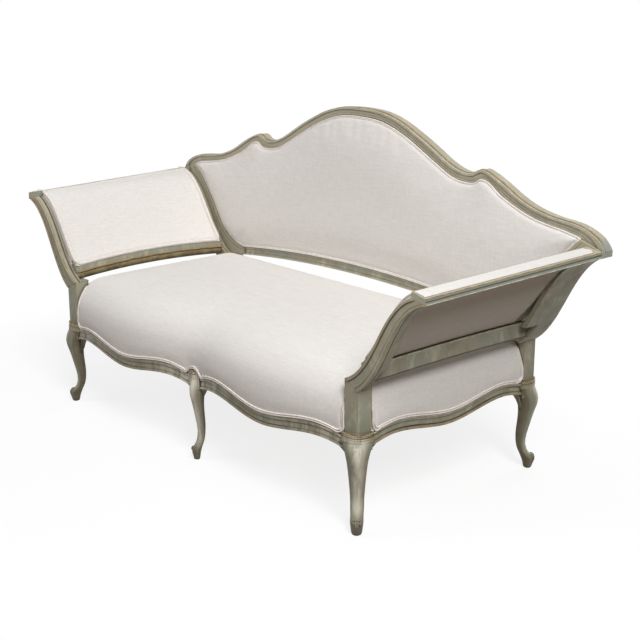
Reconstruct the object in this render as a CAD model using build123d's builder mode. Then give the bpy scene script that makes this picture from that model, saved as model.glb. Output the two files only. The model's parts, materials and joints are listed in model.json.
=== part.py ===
from build123d import *
import os

os.makedirs("parts", exist_ok=True)

# Settee with a painted carved frame and tight upholstery.
# Millimetres, +Z up, front towards -Y, even left to right.

# Plan of the frame
POST_X = 696.0  # corner post centre, from the middle sideways
POST_Y = 334.0  # corner post centre, from the middle to front and back
POST = 50.0  # square section of every post
FRONT_BOW = 30.0  # swell of each front rail in plan
POST_IN = POST_X - POST / 2
POST_OUT = POST_X + POST / 2
FACE_Y = POST_Y + POST / 2
BACK_OF_POST = POST_Y - POST / 2

# Legs: height, outward reach of the centre, depth and width at each level
LEG_H = 264.0
LEG_LEVELS = [
    (0, 29, 22, 24),
    (6, 29, 27, 29),
    (20, 30, 35, 33),
    (33, 28, 41, 36),
    (47, 17, 31, 36),
    (62, 9, 28, 37),
    (88, 5, 30, 38),
    (115, 7, 35, 41),
    (150, 13, 41, 46),
    (182, 18, 49, 52),
    (206, 20, 60, 58),
    (228, 15, 72, 68),
    (248, 6, 78, 80),
    (264, 2, 72, 90),
]
COLLAR_LEVELS = [  # same four values for the collar above the knee
    (262, 2, 77, 93),
    (282, 1, 74, 78),
]
LEG_RIDGE = 0.645  # how far the section fills its corners, 0.707 being an ellipse
CENTRE_LEG = 0.82  # girth of the centre legs against the corner legs
CAP_TOP = 288.0  # peak of the carved cap over each knee
CAP_DROP = 20.0
CAP_W = 84.0
CAP_PROUD = 3.0

# Seat rails
RAIL_LOW = 221.0  # lower edge in the middle of a front bay
SIDE_LIFT = 9.0  # side rails sit this much higher
SCALLOP = 26.0  # rise of the edge beside the legs
END_LIFT = 11.0  # height of the edge at the legs
SCALLOP_AT = 0.13  # place of the crest of the scallop along the rail
RAIL_FACE = 34.0  # height of the moulded band that shows
RAIL_T = 30.0
FRONT_RAIL_T = 34.0
RAIL_TOP = 315.0
TACK_STEP = 8.0  # depth of the step that the cover is tacked into
BEAD = 8.0
BEAD_PROUD = 3.0
TENON_L = 20.0
TENON_T = 12.0
TENON_H = 40.0
TENON_SET = 9.0  # from the outer face to the tenon
TENON_LOW = 258.0
FIT = 0.2  # clearance of a tenon in its mortise
STRETCHER_W = 34.0
STRETCHER_H = 40.0
STRETCHER_LOW = 266.0

# Arms
ELBOW_IN = 430.0  # top of the posts on the inner side
ELBOW_OUT = 405.0  # top of the posts on the outer side
FRONT_FLARE = 234.0  # outward reach of the arm at the front
FRONT_RISE = 277.0
REAR_FLARE = 251.0
REAR_RISE = 293.0
TOP_W = 48.0  # width of the arm top rail
TOP_TILT = 10.0
TOP_T = 18.0
STUMP_D = 26.0
UPRIGHT_D = 24.0
FLANGE_D = 53.0  # width of the outer flange in front of the upright
FLANGE_SHARE = 0.62  # share of the arm thickness inside the flange
IN_HANDLES = ((0.483, 0.183), (0.525, 0.82))
OUT_HANDLES = ((0.4145, 0.235), (0.5, 0.92))
LOWER_IN = 35.0  # arm lower rail, from the inner face of the post
LOWER_W = 38.0
LOWER_H = 46.0
LOWER_BOW = 15.0
LOWER_ARCH = 11.0

# Back
CREST_TOP = 1022.0
FRAME_D = 37.0  # depth of the back frame
UPRIGHT_X = 330.0
UPRIGHT_W = 50.0
UPRIGHT_T = 19.0
HALF_BACK = POST_OUT + REAR_FLARE
BACK_RISE = CREST_TOP - ELBOW_IN
BACK_Y = FACE_Y - FRAME_D

# Outline of the back as seen from the front, right half, taken at a half width of 972
# and a rise of 592 above the inner elbow at 430
OUTLINE_HALF = 972.0
OUTLINE_RISE = 592.0
OUTLINE_BASE = 430.0
ARCH_OUTER = [
    (0, 1022), (90, 1017), (165, 999), (240, 967), (315, 929),
    (370, 898), (422, 876), (466, 869), (492, 873),
]
ARCH_INNER = [
    (0, 997), (84, 992), (153, 975), (226, 945), (301, 906),
    (357, 876), (414, 850), (463, 842), (490, 842),
]
SIDE_OUTER = [
    (492, 873), (505, 882), (522, 886), (542, 881), (600, 855), (655, 825),
    (720, 799), (805, 782), (870, 775), (915, 762), (950, 742), (972, 714),
]
SIDE_INNER = [
    (490, 842), (507, 847), (521, 857), (540, 858), (590, 829), (645, 801),
    (712, 776), (802, 758), (850, 751), (878, 745), (889, 742), (897, 739),
]
STILE_INNER = [
    (897, 739), (842, 684), (806, 637), (771, 585),
    (742, 540), (706, 504), (659, 477), (611, 465),
]
BOTTOM_LOW = [(611, 436), (0, 471)]
BOTTOM_HIGH = [(611, 465), (0, 503)]
EAR_DROP = 0.25  # share of an inset that also lowers it, to clear the ears of the crest
BEAD_SHARE = 0.27  # share of the frame's face under each edge bead

# Joints and fasteners
DOWEL_D = 8.0
DOWEL_L = 24.0
UPRIGHT_PINS = (0.4, 0.7)  # places of the dowels along the rear upright's curve
TIP_PIN = 0.6  # place of the dowel across the tip of the crest
BLOCK = 100.0
BLOCK_T = 24.0
BLOCK_LOW = 287.0
SCREW_AT = 60.0  # screw, from the inner corner of the rails
SCREW_D = 5.0
SCREW_L = 45.0
SCREW_HEAD_D = 9.6
SCREW_HEAD_T = 4.0
SCREW_SEAT = 25.0  # block left under the head

# Seat filling
BATTEN_W = 20.0
BATTEN_H = 18.0
BATTEN_LOW = 267.0
STRAP_W = 50.0
STRAP_T = 1.5
SPRING_COLUMNS = 3
SPRING_ROWS = 3
SPRING_STEP_X = 200.0
SPRING_STEP_Y = 190.0
SPRING_FIRST_X = 130.0
SPRING_R = 42.0
SPRING_WIRE = 4.0
SPRING_TURNS = 4
SPRING_GAP = 0.8  # between a coil's end and the cloth that it is sewn to
CANVAS_LOW = 392.0
CANVAS_T = 2.0
DUST_T = 1.0
COVER_T = 6.0
COVER_SET = 1.5  # cover behind the face of the rail
STUFFING_SET = 3.0  # filling inside the cover
# Seat: height, distance in from the front and sides, distance in from the rear
SEAT_LEVELS = [
    (315, 0, 0),
    (345, 2, 6),
    (379, 14, 22),
    (415, 45, 56),
    (441, 92, 103),
    (463, 165, 178),
    (474, 250, 260),
]
CLEAR = 0.5  # soft pieces stay this far from the frame
POST_CLEAR = 1.0

# Welts and pads
WELT = 8.0
WELT_PROUD = 4.0
ARM_WELT = 7.0
PAD_START = 0.25  # place on the arm's inner curve where the pad comes away from the lower rail
PAD_BACK = 14.0  # pad set into the arm behind its inner curve
PAD_BROW = 60.0  # swell of the pad over the top rail
PAD_HEEL = 24.0  # width of the pad where it rests on the lower rail
PAD_EDGE = 8.0
PAD_LIP = 2.0
PAD_CROWN = 18.0
PAD_GROWTH = 1.0  # extra height of the brow as the crown grows
PAD_LEVELS = [(0.07, 0.6), (0.28, 1), (0.72, 1), (0.93, 0.6)]  # share of the length, of the crown
WELT_CROWN = 8.0
PANEL_SET = 5.0
PANEL_T = 3.0
PANEL_STEPS = 6  # stretches of the outside panel along the bowed rail
PANEL_FROM = 0.29  # outside panel along the arm's outer curve
PANEL_TO = 0.96
BACK_CROWN = 30.0
BACK_LEVELS = [(0, 0.5), (0.45, 9), (0.8, 38), (1, 100)]  # share of the crown, distance from the welt
STUMP_BEAD = 0.2  # share of the stump's face under each edge bead

LEAN = (-0.78, 0.62)  # inward and upward across the arm
FAR = 4 * POST_X


def side_face(y):
    """Upright plane across the settee at one depth."""
    return Plane.XZ.offset(-y)


def mix(p, q, share):
    return tuple(a + (b - a) * share for a, b in zip(p, q))


def slide_by(points, amount):
    """Points moved across the arm, inwards when positive."""
    return [(x + LEAN[0] * amount, z + LEAN[1] * amount) for x, z in points]


def box(low, high):
    with BuildPart() as block:
        with Locations(mix(low, high, 0.5)):
            Box(high[0] - low[0], high[1] - low[1], high[2] - low[2])
    return block.part


def flip(part):
    """The same piece on the left."""
    with BuildPart() as other:
        mirror(part, about=Plane.YZ)
    return other.part


def cut(part, *others):
    with BuildPart() as piece:
        add(part)
        for other in others:
            add(other, mode=Mode.SUBTRACT)
    return piece.part


def gather(*parts):
    with BuildPart() as group:
        for part in parts:
            add(part)
    return group.part


def pin(centre, along, diameter=DOWEL_D, length=DOWEL_L):
    with BuildPart() as rod:
        with BuildSketch(Plane(origin=centre, z_dir=along)):
            Circle(diameter / 2)
        extrude(amount=length / 2, both=True)
    return rod.part


# Legs


def leg_ring(reach, depth, width):
    a = depth / 2
    b = width / 2
    c = a * LEG_RIDGE
    d = b * LEG_RIDGE
    ring = [(a, 0), (c, d), (0, b), (-c, d), (-a, 0), (-c, -d), (0, -b), (c, -d)]
    return [(reach + x, y) for x, y in ring]


def leg_run(levels, girth):
    """Stretch of a leg on its own axis, toe towards +X."""
    with BuildPart() as shaft:
        for height, reach, depth, width in levels:
            with BuildSketch(Plane.XY.offset(height * LEG_H / LEG_LEVELS[-1][0])):
                with BuildLine():
                    Spline(*leg_ring(reach * girth, depth * girth, width * girth), periodic=True)
                make_face()
        loft()
    return shaft.part


def leg_shaft(girth):
    return gather(leg_run(LEG_LEVELS, girth), leg_run(COLLAR_LEVELS, girth))


def leg_cap(turn):
    """Carved cap over the knee, wrapped around the outer side of the post."""
    low = RAIL_LOW + END_LIFT
    with BuildPart() as cap:
        with BuildSketch(Plane.YZ):
            with BuildLine():
                ThreePointArc((-CAP_W / 2, CAP_TOP - CAP_DROP), (0, CAP_TOP), (CAP_W / 2, CAP_TOP - CAP_DROP))
                Polyline(
                    (CAP_W / 2, CAP_TOP - CAP_DROP),
                    (CAP_W / 2, low),
                    (-CAP_W / 2, low),
                    (-CAP_W / 2, CAP_TOP - CAP_DROP),
                )
            make_face()
        extrude(amount=POST)
        with Locations((0, 0, CAP_TOP)):
            across = POST + 2 * CAP_PROUD
            Box(across, across, CAP_TOP, rotation=(0, 0, turn), mode=Mode.INTERSECT)
    return cap.part


def stand(part, x, y, turn):
    return part.rotate(Axis.Z, turn).moved(Location((x, y, 0)))


def post_slope():
    """Wedge above the sloping top of a right-hand post."""
    with BuildPart() as wedge:
        with BuildSketch(Plane.XZ):
            with BuildLine():
                Polyline(
                    (POST_IN, ELBOW_IN),
                    (POST_OUT, ELBOW_OUT),
                    (POST_OUT, ELBOW_IN + POST),
                    (POST_IN, ELBOW_IN + POST),
                    close=True,
                )
            make_face()
        extrude(amount=2 * POST_Y, both=True)
    return wedge.part


# Seat rails, each laid along +X from its first leg with its face towards -Y


def scallop(length, base):
    return [
        (0, base + END_LIFT),
        (SCALLOP_AT * length, base + SCALLOP),
        (length / 2, base),
        ((1 - SCALLOP_AT) * length, base + SCALLOP),
        (length, base + END_LIFT),
    ]


def level(length, height):
    return [(0, height), (length, height)]


def edge_line(points):
    if len(points) == 2:
        return Line(*points)
    return Spline(*points)


def bowed_line(length, y, bow):
    if bow:
        return ThreePointArc((0, y), (length / 2, y - bow), (length, y))
    return Line((0, y), (length, y))


def rail_band(length, bow, face, back, low, high, back_bow=0):
    """Stretch of a rail between two edge lines, its face set back from the rail's own."""
    with BuildPart() as band:
        with BuildSketch():
            with BuildLine():
                bowed_line(length, face, bow)
                Line((length, face), (length, back))
                bowed_line(length, back, back_bow)
                Line((0, back), (0, face))
            make_face()
        extrude(amount=CREST_TOP)
        with BuildSketch(Plane.XZ):
            with BuildLine():
                edge_line(low)
                Line(low[-1], high[-1])
                edge_line(high[::-1])
                Line(high[0], low[0])
            make_face()
        extrude(amount=FAR, both=True, mode=Mode.INTERSECT)
    return band.part


def tenons(length, extra):
    spots = []
    for end in (0, length):
        low = (end - TENON_L - extra, TENON_SET - extra, TENON_LOW - extra)
        high = (end + TENON_L + extra, TENON_SET + TENON_T + extra, TENON_LOW + TENON_H + extra)
        spots.append(box(low, high))
    return gather(*spots)


def seat_rail(length, bow, back, lift):
    low = scallop(length, RAIL_LOW + lift)
    top = scallop(length, RAIL_LOW + lift + RAIL_FACE)
    return gather(
        rail_band(length, bow, 0, back, low, scallop(length, RAIL_LOW + lift + BEAD)),
        rail_band(length, bow, BEAD_PROUD, back, low, top),
        rail_band(length, bow, 0, back, scallop(length, RAIL_LOW + lift + RAIL_FACE - BEAD), top),
        rail_band(length, bow, TACK_STEP, back, low, level(length, RAIL_TOP)),
        tenons(length, 0),
    )


def plain_rail(length, back):
    low = level(length, RAIL_LOW + END_LIFT)
    top = level(length, RAIL_LOW + END_LIFT + RAIL_FACE)
    return gather(
        rail_band(length, 0, 0, back, low, top),
        rail_band(length, 0, TACK_STEP, back, low, level(length, RAIL_TOP)),
        tenons(length, 0),
    )


def rail_welt(length, bow, lift):
    low = scallop(length, RAIL_LOW + lift + RAIL_FACE)
    high = scallop(length, RAIL_LOW + lift + RAIL_FACE + WELT)
    face = COVER_SET - CLEAR - WELT_PROUD
    return rail_band(length, bow, face, face + WELT_PROUD, low, high, bow)


FRONT_LEN = POST_IN - POST / 2
SIDE_LEN = 2 * BACK_OF_POST
FRONT_AT = Location((POST / 2, -FACE_Y, 0))
SIDE_AT = Location((POST_OUT, -BACK_OF_POST, 0), (0, 0, 90))
REAR_AT = Location((POST_IN, FACE_Y, 0), (0, 0, 180))

front_mortises = tenons(FRONT_LEN, FIT).moved(FRONT_AT)
side_mortises = tenons(SIDE_LEN, FIT).moved(SIDE_AT)
rear_mortises = tenons(FRONT_LEN, FIT).moved(REAR_AT)


def stretcher(extra):
    half = STRETCHER_W / 2
    reach = BACK_OF_POST + TENON_L
    return gather(
        box(
            (-half, -BACK_OF_POST, STRETCHER_LOW),
            (half, BACK_OF_POST, STRETCHER_LOW + STRETCHER_H),
        ),
        box(
            (-TENON_T / 2 - extra, -reach - extra, STRETCHER_LOW + TENON_SET - extra),
            (TENON_T / 2 + extra, reach + extra, STRETCHER_LOW + STRETCHER_H - TENON_SET + extra),
        ),
    )


# Joints between the upper members, right side


def blossom(p, a, b, c):
    first = [mix(p[0], p[1], a), mix(p[1], p[2], a), mix(p[2], p[3], a)]
    second = [mix(first[0], first[1], b), mix(first[1], first[2], b)]
    return mix(second[0], second[1], c)


def stretch(p, a, b):
    """Control points of the stretch of a curve between two of its parameters."""
    return [blossom(p, a, a, a), blossom(p, a, a, b), blossom(p, a, b, b), blossom(p, b, b, b)]


def blend(p, q, share):
    return [mix(a, b, share) for a, b in zip(p, q)]


def curve_points(start, end, handles):
    wide = end[0] - start[0]
    tall = end[1] - start[1]
    inner = [(start[0] + sx * wide, start[1] + sz * tall) for sx, sz in handles]
    return [start] + inner + [end]


def arm_curves(y):
    """Inner and outer curve of the arm at one depth, flaring more towards the back."""
    share = (y + FACE_Y) / (FACE_Y + BACK_OF_POST)
    flare = FRONT_FLARE + (REAR_FLARE - FRONT_FLARE) * share
    rise = FRONT_RISE + (REAR_RISE - FRONT_RISE) * share
    tip = (POST_OUT + flare, ELBOW_OUT + rise)
    outer = curve_points((POST_OUT, ELBOW_OUT), tip, OUT_HANDLES)
    inner = curve_points((POST_IN, ELBOW_IN), (tip[0] - TOP_W, tip[1] + TOP_TILT), IN_HANDLES)
    return inner, outer


def arm_slab(front, rear, near, far):
    """Slab of the arm between two depths and two shares of its thickness."""
    with BuildPart() as slab:
        for y in (front, rear):
            inner, outer = arm_curves(y)
            a = blend(inner, outer, near)
            b = blend(inner, outer, far)
            with BuildSketch(side_face(y)):
                with BuildLine():
                    Bezier(*a)
                    Line(a[3], b[3])
                    Bezier(*b[::-1])
                    Line(b[0], a[0])
                make_face()
        loft(ruled=True)
    return slab.part


def at_back(point, inset=0.0):
    """Outline point brought to the settee's own size, drawn in from the edge by an inset."""
    middle = ELBOW_IN + BACK_RISE / 2
    x = point[0] * HALF_BACK / OUTLINE_HALF
    z = ELBOW_IN + (point[1] - OUTLINE_BASE) * BACK_RISE / OUTLINE_RISE
    z = middle + (z - middle) * (1 - inset / (BACK_RISE / 2)) - EAR_DROP * inset
    return (x * (1 - inset / HALF_BACK), z)


def left(point):
    return (-point[0], point[1])


def line_of(points, inset=0.0):
    return [at_back(p, inset) for p in points]


STUMP_REAR = -FACE_Y + STUMP_D
UPRIGHT_FRONT = BACK_OF_POST - UPRIGHT_D
FLANGE_FRONT = UPRIGHT_FRONT - FLANGE_D
LOWER_X = POST_IN + LOWER_IN
tip_in, tip_out = arm_curves(STUMP_REAR - STUMP_D / 2)
rear_in, rear_out = arm_curves(BACK_OF_POST)
rear_mid = blend(rear_in, rear_out, 0.5)
crest_tip = at_back(SIDE_OUTER[-1])
crest_corner = at_back(SIDE_INNER[-1])
ear_joint = mix(at_back(SIDE_OUTER[0]), at_back(SIDE_INNER[0]), 0.5)
foot_joint = mix(at_back(BOTTOM_LOW[0]), at_back(BOTTOM_HIGH[0]), 0.5)
tip_joint = mix(crest_tip, crest_corner, TIP_PIN)
tip_joint_way = (crest_corner[1] - crest_tip[1], 0, crest_tip[0] - crest_corner[0])
stump_mid = STUMP_REAR - STUMP_D / 2
stump_tip = mix(tip_in[3], tip_out[3], 0.5)
elbow = ((POST_IN + POST_OUT) / 2, (ELBOW_IN + ELBOW_OUT) / 2)
elbow_way = (ELBOW_IN - ELBOW_OUT, 0, POST)
tip_way = (TOP_TILT, 0, TOP_W)
frame_mid = FACE_Y - FRAME_D / 2
lower_mid = (LOWER_X + LOWER_W / 2, ELBOW_IN + LOWER_H / 2)
lower_middle_y = (STUMP_REAR + UPRIGHT_FRONT) / 2
top_end = mix(rear_in[3], rear_out[3], 0.5)
upright_joints = [blossom(rear_mid, share, share, share) for share in UPRIGHT_PINS]

right_dowels = [
    pin((elbow[0], stump_mid, elbow[1]), elbow_way),
    pin((elbow[0], POST_Y, elbow[1]), elbow_way),
    pin((stump_tip[0], stump_mid, stump_tip[1]), tip_way),
    pin((top_end[0], BACK_OF_POST, top_end[1] + TOP_T / 2), (0, 1, 0)),
    pin((lower_mid[0], STUMP_REAR, lower_mid[1]), (0, 1, 0)),
    pin((lower_mid[0], UPRIGHT_FRONT, lower_mid[1]), (0, 1, 0)),
    *[pin((x, BACK_OF_POST, z), (0, 1, 0)) for x, z in upright_joints],
    pin((ear_joint[0], frame_mid, ear_joint[1]), (1, 0, 0)),
    pin((foot_joint[0], frame_mid, foot_joint[1]), (1, 0, 0)),
    pin((tip_joint[0], frame_mid, tip_joint[1]), tip_joint_way),
]
dowels = gather(*right_dowels, *[flip(rod) for rod in right_dowels])

# Legs in place
corner_shaft = leg_shaft(1.0)
corner_cap = leg_cap(45)
slope = post_slope()
post_low = RAIL_LOW + END_LIFT


def corner_leg(y, turn):
    with BuildPart() as leg:
        add(stand(corner_shaft, POST_X, y, turn))
        add(stand(corner_cap, POST_X, y, turn))
        add(box((POST_IN, y - POST / 2, post_low), (POST_OUT, y + POST / 2, ELBOW_IN)))
        add(slope, mode=Mode.SUBTRACT)
        for other in (front_mortises, side_mortises, rear_mortises, dowels):
            add(other, mode=Mode.SUBTRACT)
    return leg.part


def centre_leg(side, mortises):
    face = side * (FACE_Y - TACK_STEP - POST_CLEAR)
    low = (-POST / 2, min(face, side * BACK_OF_POST), post_low)
    high = (POST / 2, max(face, side * BACK_OF_POST), RAIL_TOP)
    turn = 90 * side
    with BuildPart() as leg:
        add(stand(leg_shaft(CENTRE_LEG), 0, side * POST_Y, turn))
        add(stand(leg_cap(0), 0, side * POST_Y, turn))
        add(box(low, high))
        for other in (mortises, stretcher(FIT)):
            add(other, mode=Mode.SUBTRACT)
        split(bisect_by=Plane.YZ)
        mirror(about=Plane.YZ)
    return leg.part


front_right_leg = corner_leg(-POST_Y, -45)
rear_right_leg = corner_leg(POST_Y, 45)
front_centre_leg = centre_leg(-1, front_mortises)
rear_centre_leg = centre_leg(1, rear_mortises)
centre_stretcher = stretcher(0)

# Corner blocks and their screws
rail_in_x = POST_OUT - RAIL_T
front_in_y = -FACE_Y + FRONT_RAIL_T
rear_in_y = FACE_Y - RAIL_T


def corner_block(y, side):
    with BuildPart() as block:
        with BuildSketch(Plane.XY.offset(BLOCK_LOW)):
            with BuildLine():
                corner = (rail_in_x, y)
                Polyline((rail_in_x - BLOCK, y), corner, (rail_in_x, y - side * BLOCK), close=True)
            make_face()
        extrude(amount=BLOCK_T)
        add(box((POST_IN, -FACE_Y, 0), (POST_OUT, -BACK_OF_POST, CREST_TOP)), mode=Mode.SUBTRACT)
        add(box((POST_IN, BACK_OF_POST, 0), (POST_OUT, FACE_Y, CREST_TOP)), mode=Mode.SUBTRACT)
    return block.part


def screw(head, way, bore):
    """Screw along one way from the seat of its head, or the bore in the block that takes it."""
    head_at = tuple(h - w * SCREW_HEAD_T / 2 for h, w in zip(head, way))
    shank_at = tuple(h + w * SCREW_L / 2 for h, w in zip(head, way))
    well_at = tuple(h - w * BLOCK / 4 for h, w in zip(head, way))
    shank = pin(shank_at, way, SCREW_D, SCREW_L)
    if bore:
        return gather(shank, pin(well_at, way, SCREW_HEAD_D + FIT, BLOCK / 2))
    return gather(shank, pin(head_at, way, SCREW_HEAD_D, SCREW_HEAD_T))


screw_z = BLOCK_LOW + BLOCK_T / 2
screw_spots = []
for wall, side in ((front_in_y, -1), (rear_in_y, 1)):
    screw_spots.append(((rail_in_x - SCREW_AT, wall - side * SCREW_SEAT, screw_z), (0, side, 0)))
    screw_spots.append(((rail_in_x - SCREW_SEAT, wall - side * SCREW_AT, screw_z), (1, 0, 0)))
right_screws = [screw(head, way, False) for head, way in screw_spots]
right_bores = [screw(head, way, True) for head, way in screw_spots]
right_blocks = [
    cut(corner_block(front_in_y, -1), *right_bores),
    cut(corner_block(rear_in_y, 1), *right_bores),
]
corner_blocks = gather(*right_blocks, *[flip(b) for b in right_blocks])
corner_block_screws = gather(*right_screws, *[flip(s) for s in right_screws])

# Seat rails in place
front_rail = cut(
    seat_rail(FRONT_LEN, FRONT_BOW, FRONT_RAIL_T, 0).moved(FRONT_AT),
    front_right_leg,
    front_centre_leg,
    *right_screws,
)
side_rail = cut(
    seat_rail(SIDE_LEN, 0, RAIL_T, SIDE_LIFT).moved(SIDE_AT),
    front_right_leg,
    rear_right_leg,
    *right_screws,
)
rear_rail = cut(
    plain_rail(FRONT_LEN, RAIL_T).moved(REAR_AT),
    rear_right_leg,
    rear_centre_leg,
    *right_screws,
)

# Arm frame
lower_front = (LOWER_X, STUMP_REAR)
lower_rear = (LOWER_X, UPRIGHT_FRONT)
with BuildPart() as lower_bar:
    with BuildSketch():
        with BuildLine():
            ThreePointArc(lower_front, (LOWER_X + LOWER_BOW, lower_middle_y), lower_rear)
            Line(lower_rear, (LOWER_X + LOWER_W, UPRIGHT_FRONT))
            ThreePointArc(
                (LOWER_X + LOWER_W, UPRIGHT_FRONT),
                (LOWER_X + LOWER_W + LOWER_BOW, lower_middle_y),
                (LOWER_X + LOWER_W, STUMP_REAR),
            )
            Line((LOWER_X + LOWER_W, STUMP_REAR), lower_front)
        make_face()
    extrude(amount=CREST_TOP)
    with BuildSketch(Plane.YZ):
        with BuildLine():
            ThreePointArc(
                (STUMP_REAR, ELBOW_IN), (lower_middle_y, ELBOW_IN + LOWER_ARCH), (UPRIGHT_FRONT, ELBOW_IN)
            )
            Line((UPRIGHT_FRONT, ELBOW_IN), (UPRIGHT_FRONT, ELBOW_IN + LOWER_H))
            ThreePointArc(
                (UPRIGHT_FRONT, ELBOW_IN + LOWER_H),
                (lower_middle_y, ELBOW_IN + LOWER_H + LOWER_ARCH),
                (STUMP_REAR, ELBOW_IN + LOWER_H),
            )
            Line((STUMP_REAR, ELBOW_IN + LOWER_H), (STUMP_REAR, ELBOW_IN))
        make_face()
    extrude(amount=FAR, both=True, mode=Mode.INTERSECT)
arm_lower_rail = cut(lower_bar.part, dowels)

arm_stump = cut(
    gather(
        arm_slab(-FACE_Y, STUMP_REAR, 0, 1),
        arm_slab(-FACE_Y - BEAD_PROUD, -FACE_Y, 0, STUMP_BEAD),
        arm_slab(-FACE_Y - BEAD_PROUD, -FACE_Y, 1 - STUMP_BEAD, 1),
    ),
    dowels,
)
flange = cut(
    arm_slab(FLANGE_FRONT, UPRIGHT_FRONT, FLANGE_SHARE, 1),
    lower_bar.part,
    box((0, -FACE_Y, 0), (FAR, UPRIGHT_FRONT, ELBOW_IN + LOWER_H)),
)
arm_upright = cut(gather(arm_slab(UPRIGHT_FRONT, BACK_OF_POST, 0, 1), flange), dowels)
with BuildPart() as top_bar:
    for y in (-FACE_Y, BACK_OF_POST):
        inner, outer = arm_curves(y)
        with BuildSketch(side_face(y)):
            with BuildLine():
                Polyline(
                    inner[3],
                    outer[3],
                    (outer[3][0], outer[3][1] + TOP_T),
                    (inner[3][0], inner[3][1] + TOP_T),
                    close=True,
                )
            make_face()
    loft(ruled=True)
arm_top_rail = cut(top_bar.part, dowels)

# Back frame


def frame_slab(front, rear, first, second):
    """Slab of the back frame between two outline lines."""
    with BuildPart() as slab:
        with BuildSketch(side_face(front)):
            with BuildLine():
                edge_line(first)
                Line(first[-1], second[-1])
                edge_line(second[::-1])
                Line(second[0], first[0])
            make_face()
        extrude(amount=front - rear)
    return slab.part


def moulded(outer, inner):
    """Frame member with a bead along both edges of its face."""
    return gather(
        frame_slab(BACK_Y, FACE_Y, outer, inner),
        frame_slab(BACK_Y - BEAD_PROUD, BACK_Y, outer, blend(outer, inner, BEAD_SHARE)),
        frame_slab(BACK_Y - BEAD_PROUD, BACK_Y, blend(inner, outer, BEAD_SHARE), inner),
    )


arch_outer = [left(p) for p in line_of(ARCH_OUTER)[:0:-1]] + line_of(ARCH_OUTER)
arch_inner = [left(p) for p in line_of(ARCH_INNER)[:0:-1]] + line_of(ARCH_INNER)
crest_centre = cut(moulded(arch_outer, arch_inner), dowels)
crest_side = cut(moulded(line_of(SIDE_OUTER), line_of(SIDE_INNER)), dowels)


def arched(points, inset=0.0):
    """Three points of an arch, left to right."""
    end, middle = line_of(points, inset)
    return [left(end), middle, end]


def rail_slab(front, rear, low, high):
    with BuildPart() as slab:
        with BuildSketch(side_face(front)):
            with BuildLine():
                ThreePointArc(*low)
                Line(low[-1], high[-1])
                ThreePointArc(*high[::-1])
                Line(high[0], low[0])
            make_face()
        extrude(amount=front - rear)
    return slab.part


low_arch = arched(BOTTOM_LOW)
high_arch = arched(BOTTOM_HIGH)
back_bottom_rail = cut(
    gather(
        rail_slab(BACK_Y, FACE_Y, low_arch, high_arch),
        rail_slab(BACK_Y - BEAD_PROUD, BACK_Y, low_arch, blend(low_arch, high_arch, BEAD_SHARE)),
        rail_slab(BACK_Y - BEAD_PROUD, BACK_Y, blend(high_arch, low_arch, BEAD_SHARE), high_arch),
    ),
    dowels,
)
with BuildPart() as stile:
    with BuildSketch(side_face(BACK_OF_POST)):
        with BuildLine():
            Bezier(*rear_out)
            Line(rear_out[3], crest_tip)
            Line(crest_tip, crest_corner)
            Spline(*line_of(STILE_INNER))
            Polyline(
                at_back(STILE_INNER[-1]),
                at_back(BOTTOM_LOW[0]),
                (POST_IN, ELBOW_IN),
                (POST_OUT, ELBOW_OUT),
            )
        make_face()
    extrude(amount=-POST)
back_stile = cut(stile.part, dowels)


def back_face(y, inset):
    """Opening of the back frame on one upright plane, drawn in by an inset."""
    arch = line_of(ARCH_INNER, inset)
    brow = line_of(SIDE_INNER, inset)
    side = line_of(STILE_INNER, inset)
    with BuildSketch(side_face(y)) as face:
        with BuildLine():
            ThreePointArc(*arched(BOTTOM_HIGH, inset))
            Spline(*side[::-1])
            Spline(*brow[::-1])
            Spline(*(arch[:0:-1] + [left(p) for p in arch]))
            Spline(*[left(p) for p in brow])
            Spline(*[left(p) for p in side])
        make_face()
    return face.sketch


def back_sheet(front, rear, inset):
    with BuildPart() as sheet:
        add(back_face(front, inset))
        extrude(amount=rear - front, dir=(0, 1, 0))
    return sheet.part


panel_front = FACE_Y - PANEL_SET - PANEL_T
upright_front = panel_front - UPRIGHT_T - CLEAR
canvas_front = upright_front - CANVAS_T - CLEAR
pad_rear = canvas_front - CLEAR
back_outside_panel = back_sheet(panel_front, panel_front + PANEL_T, CLEAR)
back_canvas = back_sheet(canvas_front, canvas_front + CANVAS_T, CLEAR)
with BuildPart() as uprights:
    for x in (-UPRIGHT_X, UPRIGHT_X):
        add(
            box(
                (x - UPRIGHT_W / 2, upright_front, ELBOW_IN),
                (x + UPRIGHT_W / 2, upright_front + UPRIGHT_T, CREST_TOP),
            )
        )
    add(back_sheet(BACK_Y, FACE_Y, 0), mode=Mode.INTERSECT)
with BuildPart() as back_cushion:
    for share, distance in BACK_LEVELS:
        add(back_face(BACK_Y - BACK_CROWN * share, WELT + distance))
    loft()
    add(back_sheet(BACK_Y, pad_rear, CLEAR))
with BuildPart() as back_cord:
    add(back_sheet(BACK_Y - WELT_PROUD, BACK_Y, CLEAR))
    add(back_sheet(BACK_Y - WELT_PROUD, BACK_Y, WELT), mode=Mode.SUBTRACT)
back_welt = back_cord.part
back_pad = cut(back_cushion.part, back_welt)

# Arm upholstery


def lower_edge(y, across):
    """Point on top of the arm's lower rail at one depth, from its inner edge."""
    run = (UPRIGHT_FRONT - STUMP_REAR) / 2
    swell = 1 - ((y - lower_middle_y) / run) ** 2
    top = ELBOW_IN + LOWER_H + LOWER_ARCH * swell
    return (LOWER_X + LOWER_BOW * swell + across, top + POST_CLEAR)


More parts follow.
